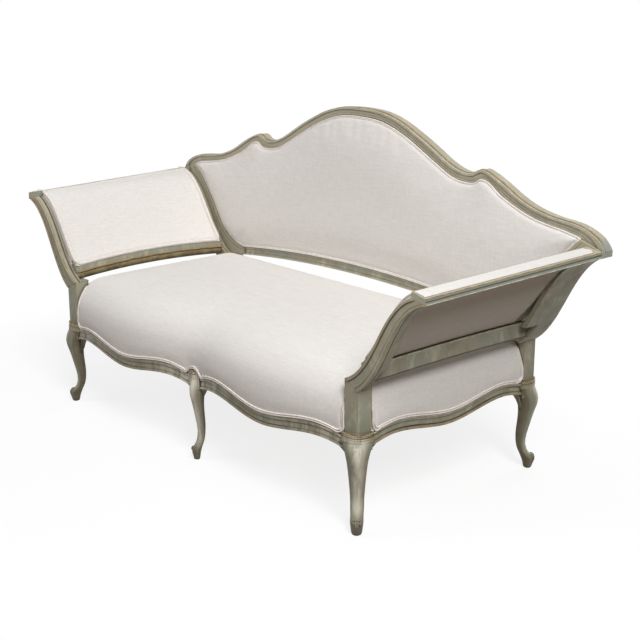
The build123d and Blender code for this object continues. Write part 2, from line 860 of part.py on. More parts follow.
def pad_face(y, crown):
    inner, outer = arm_curves(y)
    line = stretch(inner, PAD_START, 1)
    behind = slide_by(line, -PAD_BACK)
    toe = lower_edge(y, CLEAR)
    heel = lower_edge(y, PAD_HEEL)
    front = slide_by(line, crown)
    edge_x = outer[3][0] - PAD_EDGE
    share = (edge_x - inner[3][0]) / TOP_W
    rail_top = inner[3][1] - TOP_TILT * share + TOP_T + CLEAR
    lip = (edge_x, rail_top + PAD_LIP)
    brow = (line[2][0] + crown, line[2][1] + PAD_BROW + PAD_GROWTH * crown)
    corner = (inner[3][0] - CLEAR, inner[3][1] + TOP_T + CLEAR)
    under = (inner[3][0] - CLEAR, inner[3][1] - PAD_LIP)
    with BuildSketch(side_face(y)) as face:
        with BuildLine():
            Bezier(toe, front[1], brow, lip)
            Polyline(lip, (edge_x, rail_top), corner, under)
            Bezier(under, behind[2], behind[1], heel)
            Line(heel, toe)
        make_face()
    return face.sketch


pad_front = STUMP_REAR + ARM_WELT + CLEAR
pad_back = UPRIGHT_FRONT - ARM_WELT - CLEAR
pad_run = pad_back - pad_front
with BuildPart() as arm_cushion:
    add(pad_face(pad_front, WELT_CROWN - PAD_LIP))
    for place, share in PAD_LEVELS:
        add(pad_face(pad_front + place * pad_run, PAD_CROWN * share))
    add(pad_face(pad_back, WELT_CROWN - PAD_LIP))
    loft()
arm_pad = cut(arm_cushion.part, arm_upright)


def arm_cord(front, rear):
    with BuildPart() as cord:
        add(pad_face(front, WELT_CROWN))
        add(pad_face(rear, WELT_CROWN))
        loft(ruled=True)
    return cord.part


arm_welt = cut(
    gather(
        arm_cord(STUMP_REAR, STUMP_REAR + ARM_WELT),
        arm_cord(UPRIGHT_FRONT - ARM_WELT, UPRIGHT_FRONT),
    ),
    arm_upright,
)
with BuildPart() as arm_panel:
    for step in range(PANEL_STEPS + 1):
        y = STUMP_REAR + (FLANGE_FRONT - STUMP_REAR) * step / PANEL_STEPS
        inner, outer = arm_curves(y)
        line = stretch(outer, PANEL_FROM, PANEL_TO)
        near = slide_by(line, PANEL_SET + PANEL_T)
        far = slide_by(line, PANEL_SET)
        near[0] = lower_edge(y, LOWER_W - PANEL_SET - PANEL_T)
        far[0] = lower_edge(y, LOWER_W - PANEL_SET)
        with BuildSketch(side_face(y)):
            with BuildLine():
                Bezier(*near)
                Line(near[3], far[3])
                Bezier(*far[::-1])
                Line(far[0], near[0])
            make_face()
    loft(ruled=True)

# Seat filling
knee = max(width for height, reach, depth, width in LEG_LEVELS) / 2 + POST_CLEAR
front_batten = box(
    (knee, front_in_y, BATTEN_LOW),
    (POST_X - knee, front_in_y + BATTEN_W, BATTEN_LOW + BATTEN_H),
)
rear_batten = box(
    (knee, rear_in_y - BATTEN_W, BATTEN_LOW),
    (POST_X - knee, rear_in_y, BATTEN_LOW + BATTEN_H),
)
side_batten = box(
    (rail_in_x - BATTEN_W, knee - POST_Y, BATTEN_LOW - STRAP_T),
    (rail_in_x, POST_Y - knee, BATTEN_LOW + BATTEN_H),
)
right_battens = [front_batten, rear_batten, side_batten]
webbing_battens = gather(*right_battens, *[flip(b) for b in right_battens])

spring_xs = [SPRING_FIRST_X + i * SPRING_STEP_X for i in range(SPRING_COLUMNS)]
spring_ys = [(i - (SPRING_ROWS - 1) / 2) * SPRING_STEP_Y for i in range(SPRING_ROWS)]
with BuildPart() as cross_straps:
    for x in spring_xs + [-x for x in spring_xs]:
        add(
            box(
                (x - STRAP_W / 2, front_in_y, BATTEN_LOW - STRAP_T),
                (x + STRAP_W / 2, rear_in_y, BATTEN_LOW),
            )
        )
with BuildPart() as long_straps:
    for y in spring_ys:
        add(
            box(
                (-rail_in_x, y - STRAP_W / 2, BATTEN_LOW - 2 * STRAP_T),
                (rail_in_x, y + STRAP_W / 2, BATTEN_LOW - STRAP_T),
            )
        )

spring_low = BATTEN_LOW + SPRING_GAP + SPRING_WIRE / 2
spring_h = CANVAS_LOW - SPRING_GAP - SPRING_WIRE / 2 - spring_low
with BuildPart() as spring:
    with BuildLine() as coil:
        Helix(pitch=spring_h / SPRING_TURNS, height=spring_h, radius=SPRING_R)
    with BuildSketch(Plane(origin=coil.line @ 0, z_dir=coil.line % 0)):
        Circle(SPRING_WIRE / 2)
    sweep()
springs = Compound(
    [
        spring.part.solid().moved(Location((x, y, spring_low)))
        for x in spring_xs + [-x for x in spring_xs]
        for y in spring_ys
    ]
)


def seat_block(inset):
    """Domed seat, drawn in all round by an inset."""
    with BuildPart() as dome:
        for height, edge, rear_edge in SEAT_LEVELS:
            half = POST_OUT - COVER_SET - inset - edge
            front = -FACE_Y + COVER_SET + inset + edge
            rear = FACE_Y - COVER_SET - inset - rear_edge
            bow = FRONT_BOW * (1 - edge / POST_Y)
            drop = inset if height > RAIL_TOP else 0
            narrow = 1 - edge / (POST_OUT - COVER_SET)
            near = POST / 2 * narrow
            far = POST_IN * narrow
            crest = (near + far) / 2
            with BuildSketch(Plane.XY.offset(height - drop)):
                with BuildLine():
                    Line((-half, front), (-far, front))
                    ThreePointArc((-far, front), (-crest, front - bow), (-near, front))
                    Line((-near, front), (near, front))
                    ThreePointArc((near, front), (crest, front - bow), (far, front))
                    Polyline((far, front), (half, front), (half, rear), (-half, rear), (-half, front))
                make_face()
        loft()
    return dome.part


posts = [
    box(
        (POST_IN - POST_CLEAR, y - POST / 2 - POST_CLEAR, 0),
        (POST_OUT + POST_CLEAR, y + POST / 2 + POST_CLEAR, CREST_TOP),
    )
    for y in (-POST_Y, POST_Y)
]
flange_in = POST_IN + FLANGE_SHARE * POST
upright_notches = [
    box((x - POST_CLEAR, y - POST_CLEAR, ELBOW_OUT - POST_CLEAR), (POST_OUT + POST_CLEAR, POST_Y, CREST_TOP))
    for x, y in ((POST_IN, UPRIGHT_FRONT), (flange_in, FLANGE_FRONT))
]
notches = [*posts, *upright_notches]
all_notches = gather(*notches, *[flip(n) for n in notches])
canvas_half = spring_xs[-1] + SPRING_R + STRAP_W / 2
canvas_deep = spring_ys[-1] + SPRING_R + STRAP_W / 2
cavity = box(
    (-canvas_half - CLEAR, -canvas_deep - CLEAR, 0),
    (canvas_half + CLEAR, canvas_deep + CLEAR, CANVAS_LOW + CANVAS_T),
)
spring_canvas = box(
    (-canvas_half, -canvas_deep, CANVAS_LOW),
    (canvas_half, canvas_deep, CANVAS_LOW + CANVAS_T),
)
seat_stuffing = cut(seat_block(COVER_T + STUFFING_SET), cavity, all_notches)


def skirt(length, bow, low):
    """Cover below the top of one rail, tacked into its step."""
    return rail_band(length, bow, COVER_SET, COVER_SET + COVER_T, low, level(length, RAIL_TOP), bow)


def centre_skirt(side):
    near = side * (FACE_Y - COVER_SET - COVER_T)
    far = side * (FACE_Y - COVER_SET)
    return box((-POST / 2, min(near, far), CAP_TOP), (POST / 2, max(near, far), RAIL_TOP))


front_low = scallop(FRONT_LEN, RAIL_LOW + RAIL_FACE)
side_low = scallop(SIDE_LEN, RAIL_LOW + SIDE_LIFT + RAIL_FACE)
rear_low = level(FRONT_LEN, RAIL_LOW + END_LIFT + RAIL_FACE)
right_skirts = [
    cut(skirt(FRONT_LEN, FRONT_BOW, front_low).moved(FRONT_AT), front_right_leg, front_centre_leg),
    cut(skirt(SIDE_LEN, 0, side_low).moved(SIDE_AT), front_right_leg, rear_right_leg),
    cut(skirt(FRONT_LEN, 0, rear_low).moved(REAR_AT), rear_right_leg, rear_centre_leg),
]
seat_cover = gather(
    cut(seat_block(0), seat_block(COVER_T), all_notches),
    *right_skirts,
    *[flip(s) for s in right_skirts],
    centre_skirt(-1),
    centre_skirt(1),
)
right_welts = [
    cut(rail_welt(FRONT_LEN, FRONT_BOW, 0).moved(FRONT_AT), front_right_leg, front_centre_leg),
    cut(rail_welt(SIDE_LEN, 0, SIDE_LIFT).moved(SIDE_AT), front_right_leg, rear_right_leg),
]
seat_welt = gather(*right_welts, *[flip(w) for w in right_welts])
dust_top = BATTEN_LOW - 2 * STRAP_T
leg_spots = [(x, y) for x in (-POST_X, 0, POST_X) for y in (-POST_Y, POST_Y)]
dust_cover = cut(
    box((-rail_in_x, front_in_y, dust_top - DUST_T), (rail_in_x, rear_in_y, dust_top)),
    *[box((x - knee, y - knee, 0), (x + knee, y + knee, RAIL_TOP)) for x, y in leg_spots],
)

# The origin is on the floor under the middle of the whole settee
toe = max(reach + depth / 2 for height, reach, depth, width in LEG_LEVELS)
front_reach = FACE_Y + FRONT_BOW + WELT_PROUD
rear_reach = POST_Y + toe * CENTRE_LEG
CENTRING = Location((0, (front_reach - rear_reach) / 2, 0))

pieces = {
    "front_centre_leg": front_centre_leg,
    "rear_centre_leg": rear_centre_leg,
    "centre_stretcher": centre_stretcher,
    "crest_rail_centre": crest_centre,
    "back_bottom_rail": back_bottom_rail,
    "back_uprights": uprights.part,
    "back_canvas": back_canvas,
    "back_pad": back_pad,
    "back_welt": back_welt,
    "back_outside_panel": back_outside_panel,
    "corner_blocks": corner_blocks,
    "corner_block_screws": corner_block_screws,
    "frame_dowels": dowels,
    "webbing_battens": webbing_battens,
    "seat_webbing_cross": cross_straps.part,
    "seat_webbing_long": long_straps.part,
    "seat_springs": springs,
    "spring_canvas": spring_canvas,
    "seat_stuffing": seat_stuffing,
    "seat_cover": seat_cover,
    "seat_welt": seat_welt,
    "dust_cover": dust_cover,
}
paired = {
    "front_{}_leg": front_right_leg,
    "rear_{}_leg": rear_right_leg,
    "front_rail_{}": front_rail,
    "side_rail_{}": side_rail,
    "rear_rail_{}": rear_rail,
    "arm_stump_{}": arm_stump,
    "arm_upright_{}": arm_upright,
    "arm_top_rail_{}": arm_top_rail,
    "arm_lower_rail_{}": arm_lower_rail,
    "back_stile_{}": back_stile,
    "crest_rail_{}": crest_side,
    "arm_pad_{}": arm_pad,
    "arm_welt_{}": arm_welt,
    "arm_outside_panel_{}": arm_panel.part,
}
for name, part in paired.items():
    pieces[name.format("right")] = part
    pieces[name.format("left")] = flip(part)

for name, part in pieces.items():
    placed = part.moved(CENTRING)
    placed.label = name
    export_step(placed, f"parts/{name}.step")
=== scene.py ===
import bpy
import json
import math
import numpy as np
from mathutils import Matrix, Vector


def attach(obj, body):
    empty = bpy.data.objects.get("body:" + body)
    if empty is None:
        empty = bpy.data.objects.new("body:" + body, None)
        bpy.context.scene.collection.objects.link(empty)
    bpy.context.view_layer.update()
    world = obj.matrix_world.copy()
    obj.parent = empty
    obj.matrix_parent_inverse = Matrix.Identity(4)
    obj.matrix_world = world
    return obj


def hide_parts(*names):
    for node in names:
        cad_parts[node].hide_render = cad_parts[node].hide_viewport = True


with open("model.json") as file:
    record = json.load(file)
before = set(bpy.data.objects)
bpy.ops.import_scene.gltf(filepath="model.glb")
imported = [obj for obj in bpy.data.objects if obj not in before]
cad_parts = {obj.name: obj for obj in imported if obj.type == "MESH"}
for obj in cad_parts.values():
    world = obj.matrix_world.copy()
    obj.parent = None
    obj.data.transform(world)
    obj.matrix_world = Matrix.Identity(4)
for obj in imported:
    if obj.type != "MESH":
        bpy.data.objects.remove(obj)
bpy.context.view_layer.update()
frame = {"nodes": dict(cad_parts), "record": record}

# Sizes in millimetres, the same as in the solids. Points are made in the frame's own plan,
# whose middle lies between the posts, and moved back by SHIFT to the row frame.
MM = 0.001
SHIFT = 9.615
POST_X, POST_Y, POST = 696.0, 334.0, 50.0
POST_IN, POST_OUT = POST_X - POST / 2, POST_X + POST / 2
FACE_Y, BACK_OF_POST = POST_Y + POST / 2, POST_Y - POST / 2
FRONT_BOW = 30.0
RAIL_LOW, SIDE_LIFT, SCALLOP, END_LIFT, SCALLOP_AT = 221.0, 9.0, 26.0, 11.0, 0.13
RAIL_FACE, BEAD_PROUD = 34.0, 3.0
CAP_TOP = 288.0
ELBOW_IN, ELBOW_OUT = 430.0, 405.0
FRONT_FLARE, FRONT_RISE, REAR_FLARE, REAR_RISE = 234.0, 277.0, 251.0, 293.0
TOP_W, TOP_TILT, TOP_T = 48.0, 10.0, 18.0
STUMP_REAR, UPRIGHT_FRONT, FLANGE_FRONT = -333.0, 285.0, 232.0
IN_HANDLES = ((0.483, 0.183), (0.525, 0.82))
OUT_HANDLES = ((0.4145, 0.235), (0.5, 0.92))
LEAN = np.array([-0.78, 0.62])
BACK_Y = 322.0
BACK_HALF_W, BACK_MIDDLE, BACK_HALF_H = 972, 726, 296  # of the back's outline
BOTTOM_HALF = 611  # half of the bottom rail's length
BOTTOM_UNDER, BOTTOM_OVER = (471, 35), (503, 38)  # height in the middle and drop at the ends
STILE_CORNER = (706, 504)  # where the stile turns into the bottom rail
LOWER_X, LOWER_W, LOWER_H, LOWER_BOW, LOWER_ARCH = 706.0, 38.0, 46.0, 15.0, 11.0
BEAD, STUMP_BEAD = 8.0, 0.2
BAY = POST_X - POST  # clear run of one front rail
ARCH_OUTER = [
    (0, 1022), (90, 1017), (165, 999), (240, 967), (315, 929), (370, 898), (422, 876), (466, 869), (492, 873),
]
ARCH_INNER = [
    (0, 997), (84, 992), (153, 975), (226, 945), (301, 906), (357, 876), (414, 850), (463, 842), (490, 842),
]
SIDE_OUTER = [
    (492, 873), (505, 882), (522, 886), (542, 881), (600, 855), (655, 825), (720, 799), (805, 782),
    (870, 775), (915, 762), (950, 742), (972, 714),
]
SIDE_INNER = [
    (490, 842), (507, 847), (521, 857), (540, 858), (590, 829), (645, 801), (712, 776), (802, 758),
    (850, 751), (878, 745), (889, 742), (897, 739),
]
STILE_INNER = [(897, 739), (842, 684), (806, 637), (771, 585), (742, 540), (706, 504), (659, 477), (611, 465)]
COLLAR_LEVELS = [(262, 2, 77, 93), (282, 1, 74, 78)]  # height, reach, depth and width above the knee
LEG_RIDGE, CENTRE_LEG = 0.645, 0.82
CORD_SIDES, LINE_SIDES = 8, 6
CORD_GAPS, SEAT_CORD_GAPS = (3.0, 8.2), (3.2, 8.4)  # the two cords, from the tacked edge
BACK_CORD_R, ARM_CORD_R, SEAT_CORD_R = 2.7, 3.0, 2.6
EDGE_SOFT = 1.6


# Camera, at the photograph's own angle
LENS, SENSOR, FAR_CLIP = 71.2, 36.0, 60.0
CAMERA_AT, CAMERA_AIM = (2.976, -2.4763, 1.4861), (0.1667, 0.0096, 0.4118)


def looking(place, aim):
    """Turn of a camera or lamp at one place that looks at another."""
    return (Vector(aim) - Vector(place)).to_track_quat("-Z", "Y").to_euler()


def make_camera():
    data = bpy.data.cameras.new("camera")
    data.lens = LENS
    data.sensor_width = SENSOR
    data.clip_end = FAR_CLIP
    cam = bpy.data.objects.new("camera", data)
    bpy.context.scene.collection.objects.link(cam)
    cam.location = CAMERA_AT
    cam.rotation_euler = looking(CAMERA_AT, CAMERA_AIM)
    bpy.context.scene.camera = cam


# Light: boxes overhead, left of the front, to the right and low behind, and a weak sky
LIGHTS = (  # name, place, aim, size and power
    ("top_box", (0.0, -0.5, 3.2), (0.0, 0.0, 0.4), (3.6, 2.8), 21.0),
    ("left_box", (-1.8, -3.0, 2.7), (0.0, -0.2, 0.4), (2.4, 1.6), 39.0),
    ("right_box", (4.9, -2.34, 5.26), (0.4, 0.0, 0.4), (2.5, 3.6), 500.0),
    ("rear_box", (-0.6, 3.2, 0.95), (0.0, 0.3, 0.55), (3.0, 0.7), 75.0),
)
SKY, SKY_POWER, WHITE = (1.0, 0.985, 0.965, 1), 0.02, (1, 1, 1, 1)
FLOOR_COLOUR, FLOOR_BOUNCE, FLOOR_SHADOW = (0.95, 0.95, 0.95, 1), (0.19, 0.155, 0.12, 1), 0.2
FLOOR_HALF, FLOOR_Z, FLOOR_FADE = 12.0, -0.0005, (1.0, 2.0)


def area_light(name, place, aim, size, power):
    data = bpy.data.lights.new(name, "AREA")
    data.shape = "RECTANGLE"
    data.size, data.size_y = size
    data.energy = power
    lamp = bpy.data.objects.new(name, data)
    bpy.context.scene.collection.objects.link(lamp)
    lamp.location = place
    lamp.rotation_euler = looking(place, aim)


def seen_directly(tree):
    """One for what the camera sees directly, also in a reflection or through glass."""
    path = tree.nodes.new("ShaderNodeLightPath")
    total = path.outputs["Is Camera Ray"]
    for name in ("Is Glossy Ray", "Is Transmission Ray"):
        either = tree.nodes.new("ShaderNodeMath")
        either.operation = "MAXIMUM"
        tree.links.new(total, either.inputs[0])
        tree.links.new(path.outputs[name], either.inputs[1])
        total = either.outputs[0]
    return total


def shader(tree, kind, colour):
    node = tree.nodes.new(kind)
    node.inputs["Color"].default_value = colour
    return node


def mixed(tree, share, first, second):
    """The first of two shaders where the share is zero, the second where it is one."""
    mix = tree.nodes.new("ShaderNodeMixShader")
    for socket, source in zip(mix.inputs, (share, first, second)):
        tree.links.new(source, socket)
    return mix.outputs[0]


def make_world():
    """White for the camera, a weak sky for everything else."""
    world = bpy.data.worlds.new("studio")
    bpy.context.scene.world = world
    world.use_nodes = True
    tree = world.node_tree
    tree.nodes.clear()
    out = tree.nodes.new("ShaderNodeOutputWorld")
    sky = shader(tree, "ShaderNodeBackground", SKY)
    sky.inputs["Strength"].default_value = SKY_POWER
    white = shader(tree, "ShaderNodeBackground", WHITE)
    shown = mixed(tree, seen_directly(tree), sky.outputs[0], white.outputs[0])
    tree.links.new(shown, out.inputs["Surface"])
    for light in LIGHTS:
        area_light(*light)


def make_floor():
    """Pale floor: it keeps the shadow near the piece and fades into the white beyond."""
    mesh = bpy.data.meshes.new("floor")
    s, z = FLOOR_HALF, FLOOR_Z
    mesh.from_pydata([(-s, -s, z), (s, -s, z), (s, s, z), (-s, s, z)], [], [(0, 1, 2, 3)])
    floor = bpy.data.objects.new("floor", mesh)
    bpy.context.scene.collection.objects.link(floor)
    n = Nodes("floor")
    n.nodes.remove(n.shader)
    tree = n.mat.node_tree
    shadowed = shader(tree, "ShaderNodeBsdfDiffuse", FLOOR_COLOUR)
    bounce = shader(tree, "ShaderNodeBsdfDiffuse", FLOOR_BOUNCE)
    white = shader(tree, "ShaderNodeEmission", WHITE)
    length = n.nodes.new("ShaderNodeVectorMath")
    length.operation = "LENGTH"
    n.links.new(n.place, length.inputs[0])
    keep = n.ramp(length.outputs["Value"], *FLOOR_FADE, FLOOR_SHADOW, 0.0)
    shown = mixed(tree, keep, white.outputs[0], shadowed.outputs[0])
    whole = mixed(tree, seen_directly(tree), bounce.outputs[0], shown)
    n.links.new(whole, n.nodes["Material Output"].inputs["Surface"])
    mesh.materials.append(n.mat)


# Materials
class Nodes:
    """Small helper for building one material's nodes."""

    def __init__(self, name):
        self.mat = bpy.data.materials.new(name)
        self.mat.use_nodes = True
        self.nodes = self.mat.node_tree.nodes
        self.links = self.mat.node_tree.links
        self.shader = self.nodes["Principled BSDF"]
        self.place = self.nodes.new("ShaderNodeTexCoord").outputs["Object"]

    def noise(self, scale, detail=3.0, rough=0.55, stretch=(1, 1, 1)):
        mapping = self.nodes.new("ShaderNodeMapping")
        mapping.inputs["Scale"].default_value = stretch
        self.links.new(self.place, mapping.inputs["Vector"])
        tex = self.nodes.new("ShaderNodeTexNoise")
        tex.inputs["Scale"].default_value = scale
        tex.inputs["Detail"].default_value = detail
        tex.inputs["Roughness"].default_value = rough
        self.links.new(mapping.outputs[0], tex.inputs["Vector"])
        return tex.outputs["Fac"]

    def ramp(self, value, low, high, out_low=0.0, out_high=1.0):
        node = self.nodes.new("ShaderNodeMapRange")
        node.interpolation_type = "SMOOTHSTEP"
        for key, number in (("From Min", low), ("From Max", high), ("To Min", out_low), ("To Max", out_high)):
            node.inputs[key].default_value = number
        self.links.new(value, node.inputs["Value"])
        return node.outputs[0]

    def math(self, operation, a, b):
        node = self.nodes.new("ShaderNodeMath")
        node.operation = operation
        for socket, value in zip(node.inputs, (a, b)):
            if isinstance(value, (int, float)):
                socket.default_value = value
            else:
                self.links.new(value, socket)
        return node.outputs[0]

    def times(self, a, b):
        return self.math("MULTIPLY", a, b)

    def tint(self, base, share, strength, colour):
        return self.mix(self.times(share, strength), base, colour)

    def mix(self, share, a, b):
        node = self.nodes.new("ShaderNodeMix")
        node.data_type = "RGBA"
        for key, value in ((0, share), (6, a), (7, b)):
            if isinstance(value, (tuple, int, float)):
                node.inputs[key].default_value = value
            else:
                self.links.new(value, node.inputs[key])
        return node.outputs[2]

    def bump(self, height, strength, distance):
        node = self.nodes.new("ShaderNodeBump")
        node.inputs["Strength"].default_value = strength
        node.inputs["Distance"].default_value = distance
        self.links.new(height, node.inputs["Height"])
        self.links.new(node.outputs[0], self.shader.inputs["Normal"])

    def done(self, colour, rough):
        for key, value in (("Base Color", colour), ("Roughness", rough)):
            if isinstance(value, (tuple, int, float)):
                self.shader.inputs[key].default_value = value
            else:
                self.links.new(value, self.shader.inputs[key])
        return self.mat


def rgb(r, g, b):
    """Colour given as it shows on screen, 0 to 255."""
    shares = [c / 255 for c in (r, g, b)]
    return tuple(c / 12.92 if c < 0.04045 else ((c + 0.055) / 1.055) ** 2.4 for c in shares) + (1.0,)


def paint_material():
    """Old gray-green paint: mottled, rubbed pale on the ridges, partly as a painted highlight, umber dirt and
    painted shade in the hollows, and painted umber shade on the legs' sides.
    """
    n = Nodes("painted_frame")
    geometry = n.nodes.new("ShaderNodeNewGeometry")
    base = n.mix(n.ramp(n.noise(8.0, 4.0), 0.36, 0.64), rgb(142, 145, 129), rgb(151, 145, 126))
    worn = n.ramp(n.noise(24.0, 6.0, 0.7, (1, 1, 0.4)), 0.5, 0.68)
    base = n.tint(base, worn, 0.6, rgb(194, 189, 168))
    umber = n.ramp(n.noise(15.0, 5.0, 0.65), 0.53, 0.72)
    base = n.tint(base, umber, 0.42, rgb(108, 98, 76))
    # on the legs: how far a face looks outward, along the diagonal of its corner
    place = n.nodes.new("ShaderNodeSeparateXYZ")
    n.links.new(geometry.outputs["Position"], place.inputs[0])
    facing = n.nodes.new("ShaderNodeSeparateXYZ")
    n.links.new(geometry.outputs["Normal"], facing.inputs[0])
    height = place.outputs[2]
    side = n.math("MAXIMUM", n.math("MINIMUM", n.times(place.outputs[0], 4.0), 1.0), -1.0)
    along_x = n.times(n.times(side, 0.707), facing.outputs[0])
    reach_y = n.math("SUBTRACT", 1.0, n.times(n.math("ABSOLUTE", side, 0.0), 0.293))
    side_y = n.times(n.math("SIGN", place.outputs[1], 0.0), reach_y)
    along_y = n.times(side_y, facing.outputs[1])
    outward = n.math("ADD", along_x, along_y)
    leg = n.ramp(height, 0.292, 0.27)
    streak = n.ramp(n.noise(38.0, 5.0, 0.7, (1, 1, 0.16)), 0.36, 0.58)
    # paler toward the crest, darker toward the knees
    base = n.mix(n.ramp(height, 0.4, 0.8, 0.0, 0.5), base, rgb(192, 185, 162))
    base = n.mix(n.ramp(height, 0.36, 0.27, 0.0, 0.45), base, rgb(96, 92, 70))
    # the legs' ridges rubbed pale, partly a painted highlight on the faces that look outward; painted shade
    # on their sides; their toes brown
    rub_and_highlight = n.times(n.times(leg, n.ramp(outward, 0.62, 0.93)), streak)
    rub_and_highlight = n.times(rub_and_highlight, n.ramp(height, 0.035, 0.08))
    base = n.tint(base, rub_and_highlight, 0.85, rgb(214, 210, 194))
    # painted shade: the legs' sides and backs darkened by the way they face
    shade = n.times(leg, n.ramp(outward, 0.6, 0.15))
    base = n.tint(base, shade, 0.7, rgb(88, 77, 54))
    base = n.mix(n.ramp(height, 0.055, 0.03, 0.0, 0.6), base, rgb(84, 74, 54))
    # outer faces of the arms' top rails a little blue
    width = n.math("ABSOLUTE", place.outputs[0], 0.0)
    rail = n.times(n.ramp(width, 0.88, 0.9), n.ramp(height, 0.66, 0.68))
    rail = n.times(rail, n.ramp(n.math("ABSOLUTE", facing.outputs[0], 0.0), 0.5, 0.8))
    base = n.tint(base, rail, 0.6, rgb(118, 134, 134))
    # rubbed edges show the brown ground; recesses, found by ambient occlusion, are darkened as dirt and
    # painted shade
    bevel = n.nodes.new("ShaderNodeBevel")
    bevel.samples = 6
    bevel.inputs["Radius"].default_value = 0.0035
    dot = n.nodes.new("ShaderNodeVectorMath")
    dot.operation = "DOT_PRODUCT"
    n.links.new(bevel.outputs[0], dot.inputs[0])
    n.links.new(geometry.outputs["Normal"], dot.inputs[1])
    edge = n.ramp(dot.outputs["Value"], 0.99, 0.86)
    patchy = n.ramp(n.noise(40.0, 3.0), 0.35, 0.6)
    base = n.tint(base, n.times(edge, patchy), 0.75, rgb(138, 104, 66))
    ao = n.nodes.new("ShaderNodeAmbientOcclusion")
    ao.samples = 6
    ao.inputs["Distance"].default_value = 0.018
    # painted shade and dirt in the recesses
    dirt_and_shade = n.ramp(ao.outputs["AO"], 0.8, 0.35)
    base = n.tint(base, dirt_and_shade, 0.7, rgb(70, 58, 40))
    n.bump(n.noise(60.0, 4.0, 0.6), 0.3, 0.0012)
    return n.done(base, n.ramp(n.noise(30.0), 0.3, 0.7, 0.5, 0.68))


def line_material(name, light, dark):
    """Worn painted or gilt line on the mouldings; the umber lines are also painted shadow lines, and one pale
    line is a painted highlight.
    """
    n = Nodes(name)
    base = n.mix(n.ramp(n.noise(34.0, 4.0, 0.7), 0.42, 0.6), light, dark)
    n.bump(n.noise(90.0), 0.2, 0.0006)
    return n.done(base, 0.5)


def linen_material(name, light, dark):
    """Slubby plain weave: fine short streaks along all three directions."""
    n = Nodes(name)
    total = None
    for axis in range(3):
        thread = [1.0, 1.0, 1.0]
        thread[axis] = 0.07
        streak = n.noise(330.0, 2.0, 0.6, tuple(thread))
        total = streak if total is None else n.math("ADD", total, streak)
    total = n.times(total, 1.0 / 3.0)
    slub = n.noise(140.0, 2.0, 0.5, (0.12, 0.5, 1.0))
    weave = n.math("ADD", n.times(total, 0.88), n.times(slub, 0.12))
    base = n.mix(n.ramp(weave, 0.36, 0.64), dark, light)
    cloud = n.ramp(n.noise(2.4, 2.0), 0.4, 0.66)
    base = n.tint(base, cloud, 0.1, dark)
    n.bump(weave, 0.25, 0.0007)
    n.shader.inputs["Sheen Weight"].default_value = 0.1
    n.shader.inputs["Sheen Roughness"].default_value = 0.5
    n.shader.inputs["Specular IOR Level"].default_value = 0.2
    return n.done(base, 0.92)


def plain_material(name, light, dark, scale, rough, metallic=0.0, stretch=(1, 1, 1)):
    n = Nodes(name)
    grain = n.noise(scale, 4.0, 0.6, stretch)
    n.bump(grain, 0.2, 0.0008)
    n.shader.inputs["Metallic"].default_value = metallic
    return n.done(n.mix(n.ramp(grain, 0.35, 0.65), dark, light), rough)


# Curves
def lengths(line):
    """Length along a polyline up to each of its points."""
    return np.concatenate([[0], np.cumsum(np.linalg.norm(np.diff(line, axis=0), axis=1))])


def unit(rows):
    return rows / np.linalg.norm(rows, axis=1)[:, None]


def normals(line):
    """Left-hand normals of a flat line."""
    return unit(np.gradient(line, axis=0)[:, ::-1] * (-1, 1))


def smooth(points, count):
    """Natural cubic spline through the points, evenly sampled."""
    p = np.array(points, float)
    t = lengths(p)
    n, h = len(t), np.diff(t)
    a, r = np.eye(n), np.zeros_like(p)
    for i in range(1, n - 1):
        a[i, i - 1:i + 2] = h[i - 1], 2 * (h[i - 1] + h[i]), h[i]
        r[i] = 6 * ((p[i + 1] - p[i]) / h[i] - (p[i] - p[i - 1]) / h[i - 1])
    m = np.linalg.solve(a, r)
    s = np.linspace(0, t[-1], count)
    k = np.clip(np.searchsorted(t, s) - 1, 0, n - 2)
    u, v, w = (t[k + 1] - s)[:, None], (s - t[k])[:, None], h[k][:, None]
    bend = (m[k] * u ** 3 + m[k + 1] * v ** 3) / (6 * w)
    return bend + (p[k] / w - m[k] * w / 6) * u + (p[k + 1] / w - m[k + 1] * w / 6) * v


def even(line, count):
    """A polyline sampled evenly along its length."""
    line = np.asarray(line, float)
    t = lengths(line)
    s = np.linspace(0, t[-1], count)
    return np.stack([np.interp(s, t, line[:, i]) for i in range(line.shape[1])], 1)


def bezier(p, t):
    t = np.asarray(t)[:, None]
    p = np.asarray(p, float)
    return (1 - t) ** 3 * p[0] + 3 * t * (1 - t) ** 2 * p[1] + 3 * t ** 2 * (1 - t) * p[2] + t ** 3 * p[3]


def arm_curves(y):
    share = (y + FACE_Y) / (FACE_Y + BACK_OF_POST)
    flare = FRONT_FLARE + (REAR_FLARE - FRONT_FLARE) * share
    rise = FRONT_RISE + (REAR_RISE - FRONT_RISE) * share
    tip = np.array([POST_OUT + flare, ELBOW_OUT + rise])

    def run(start, end, handles):
        start, end = np.array(start, float), np.array(end, float)
        return np.array([start] + [start + np.array(h) * (end - start) for h in handles] + [end])

    outer = run((POST_OUT, ELBOW_OUT), tip, OUT_HANDLES)
    inner = run((POST_IN, ELBOW_IN), tip + (-TOP_W, TOP_TILT), IN_HANDLES)
    return inner, outer


def scallop_z(s, base):
    """Height of a seat rail's edge at a share of its length."""
    line = smooth([(0, base + END_LIFT), (SCALLOP_AT * BAY, base + SCALLOP), (BAY / 2, base),
                   ((1 - SCALLOP_AT) * BAY, base + SCALLOP), (BAY, base + END_LIFT)], 200)
    return np.interp(np.asarray(s) * BAY, line[:, 0], line[:, 1])


def bay_share(x):
    """Share of a front rail's length, counted from the centre leg."""
    return np.clip((np.abs(x) - POST / 2) / BAY, 0, 1)


def front_bow(x):
    return FRONT_BOW * np.sin(np.pi * bay_share(x))


def front_edge(x, height):
    """Height of a line along the front rails, from the height over their lower edge."""
    return scallop_z(bay_share(x), RAIL_LOW + height)


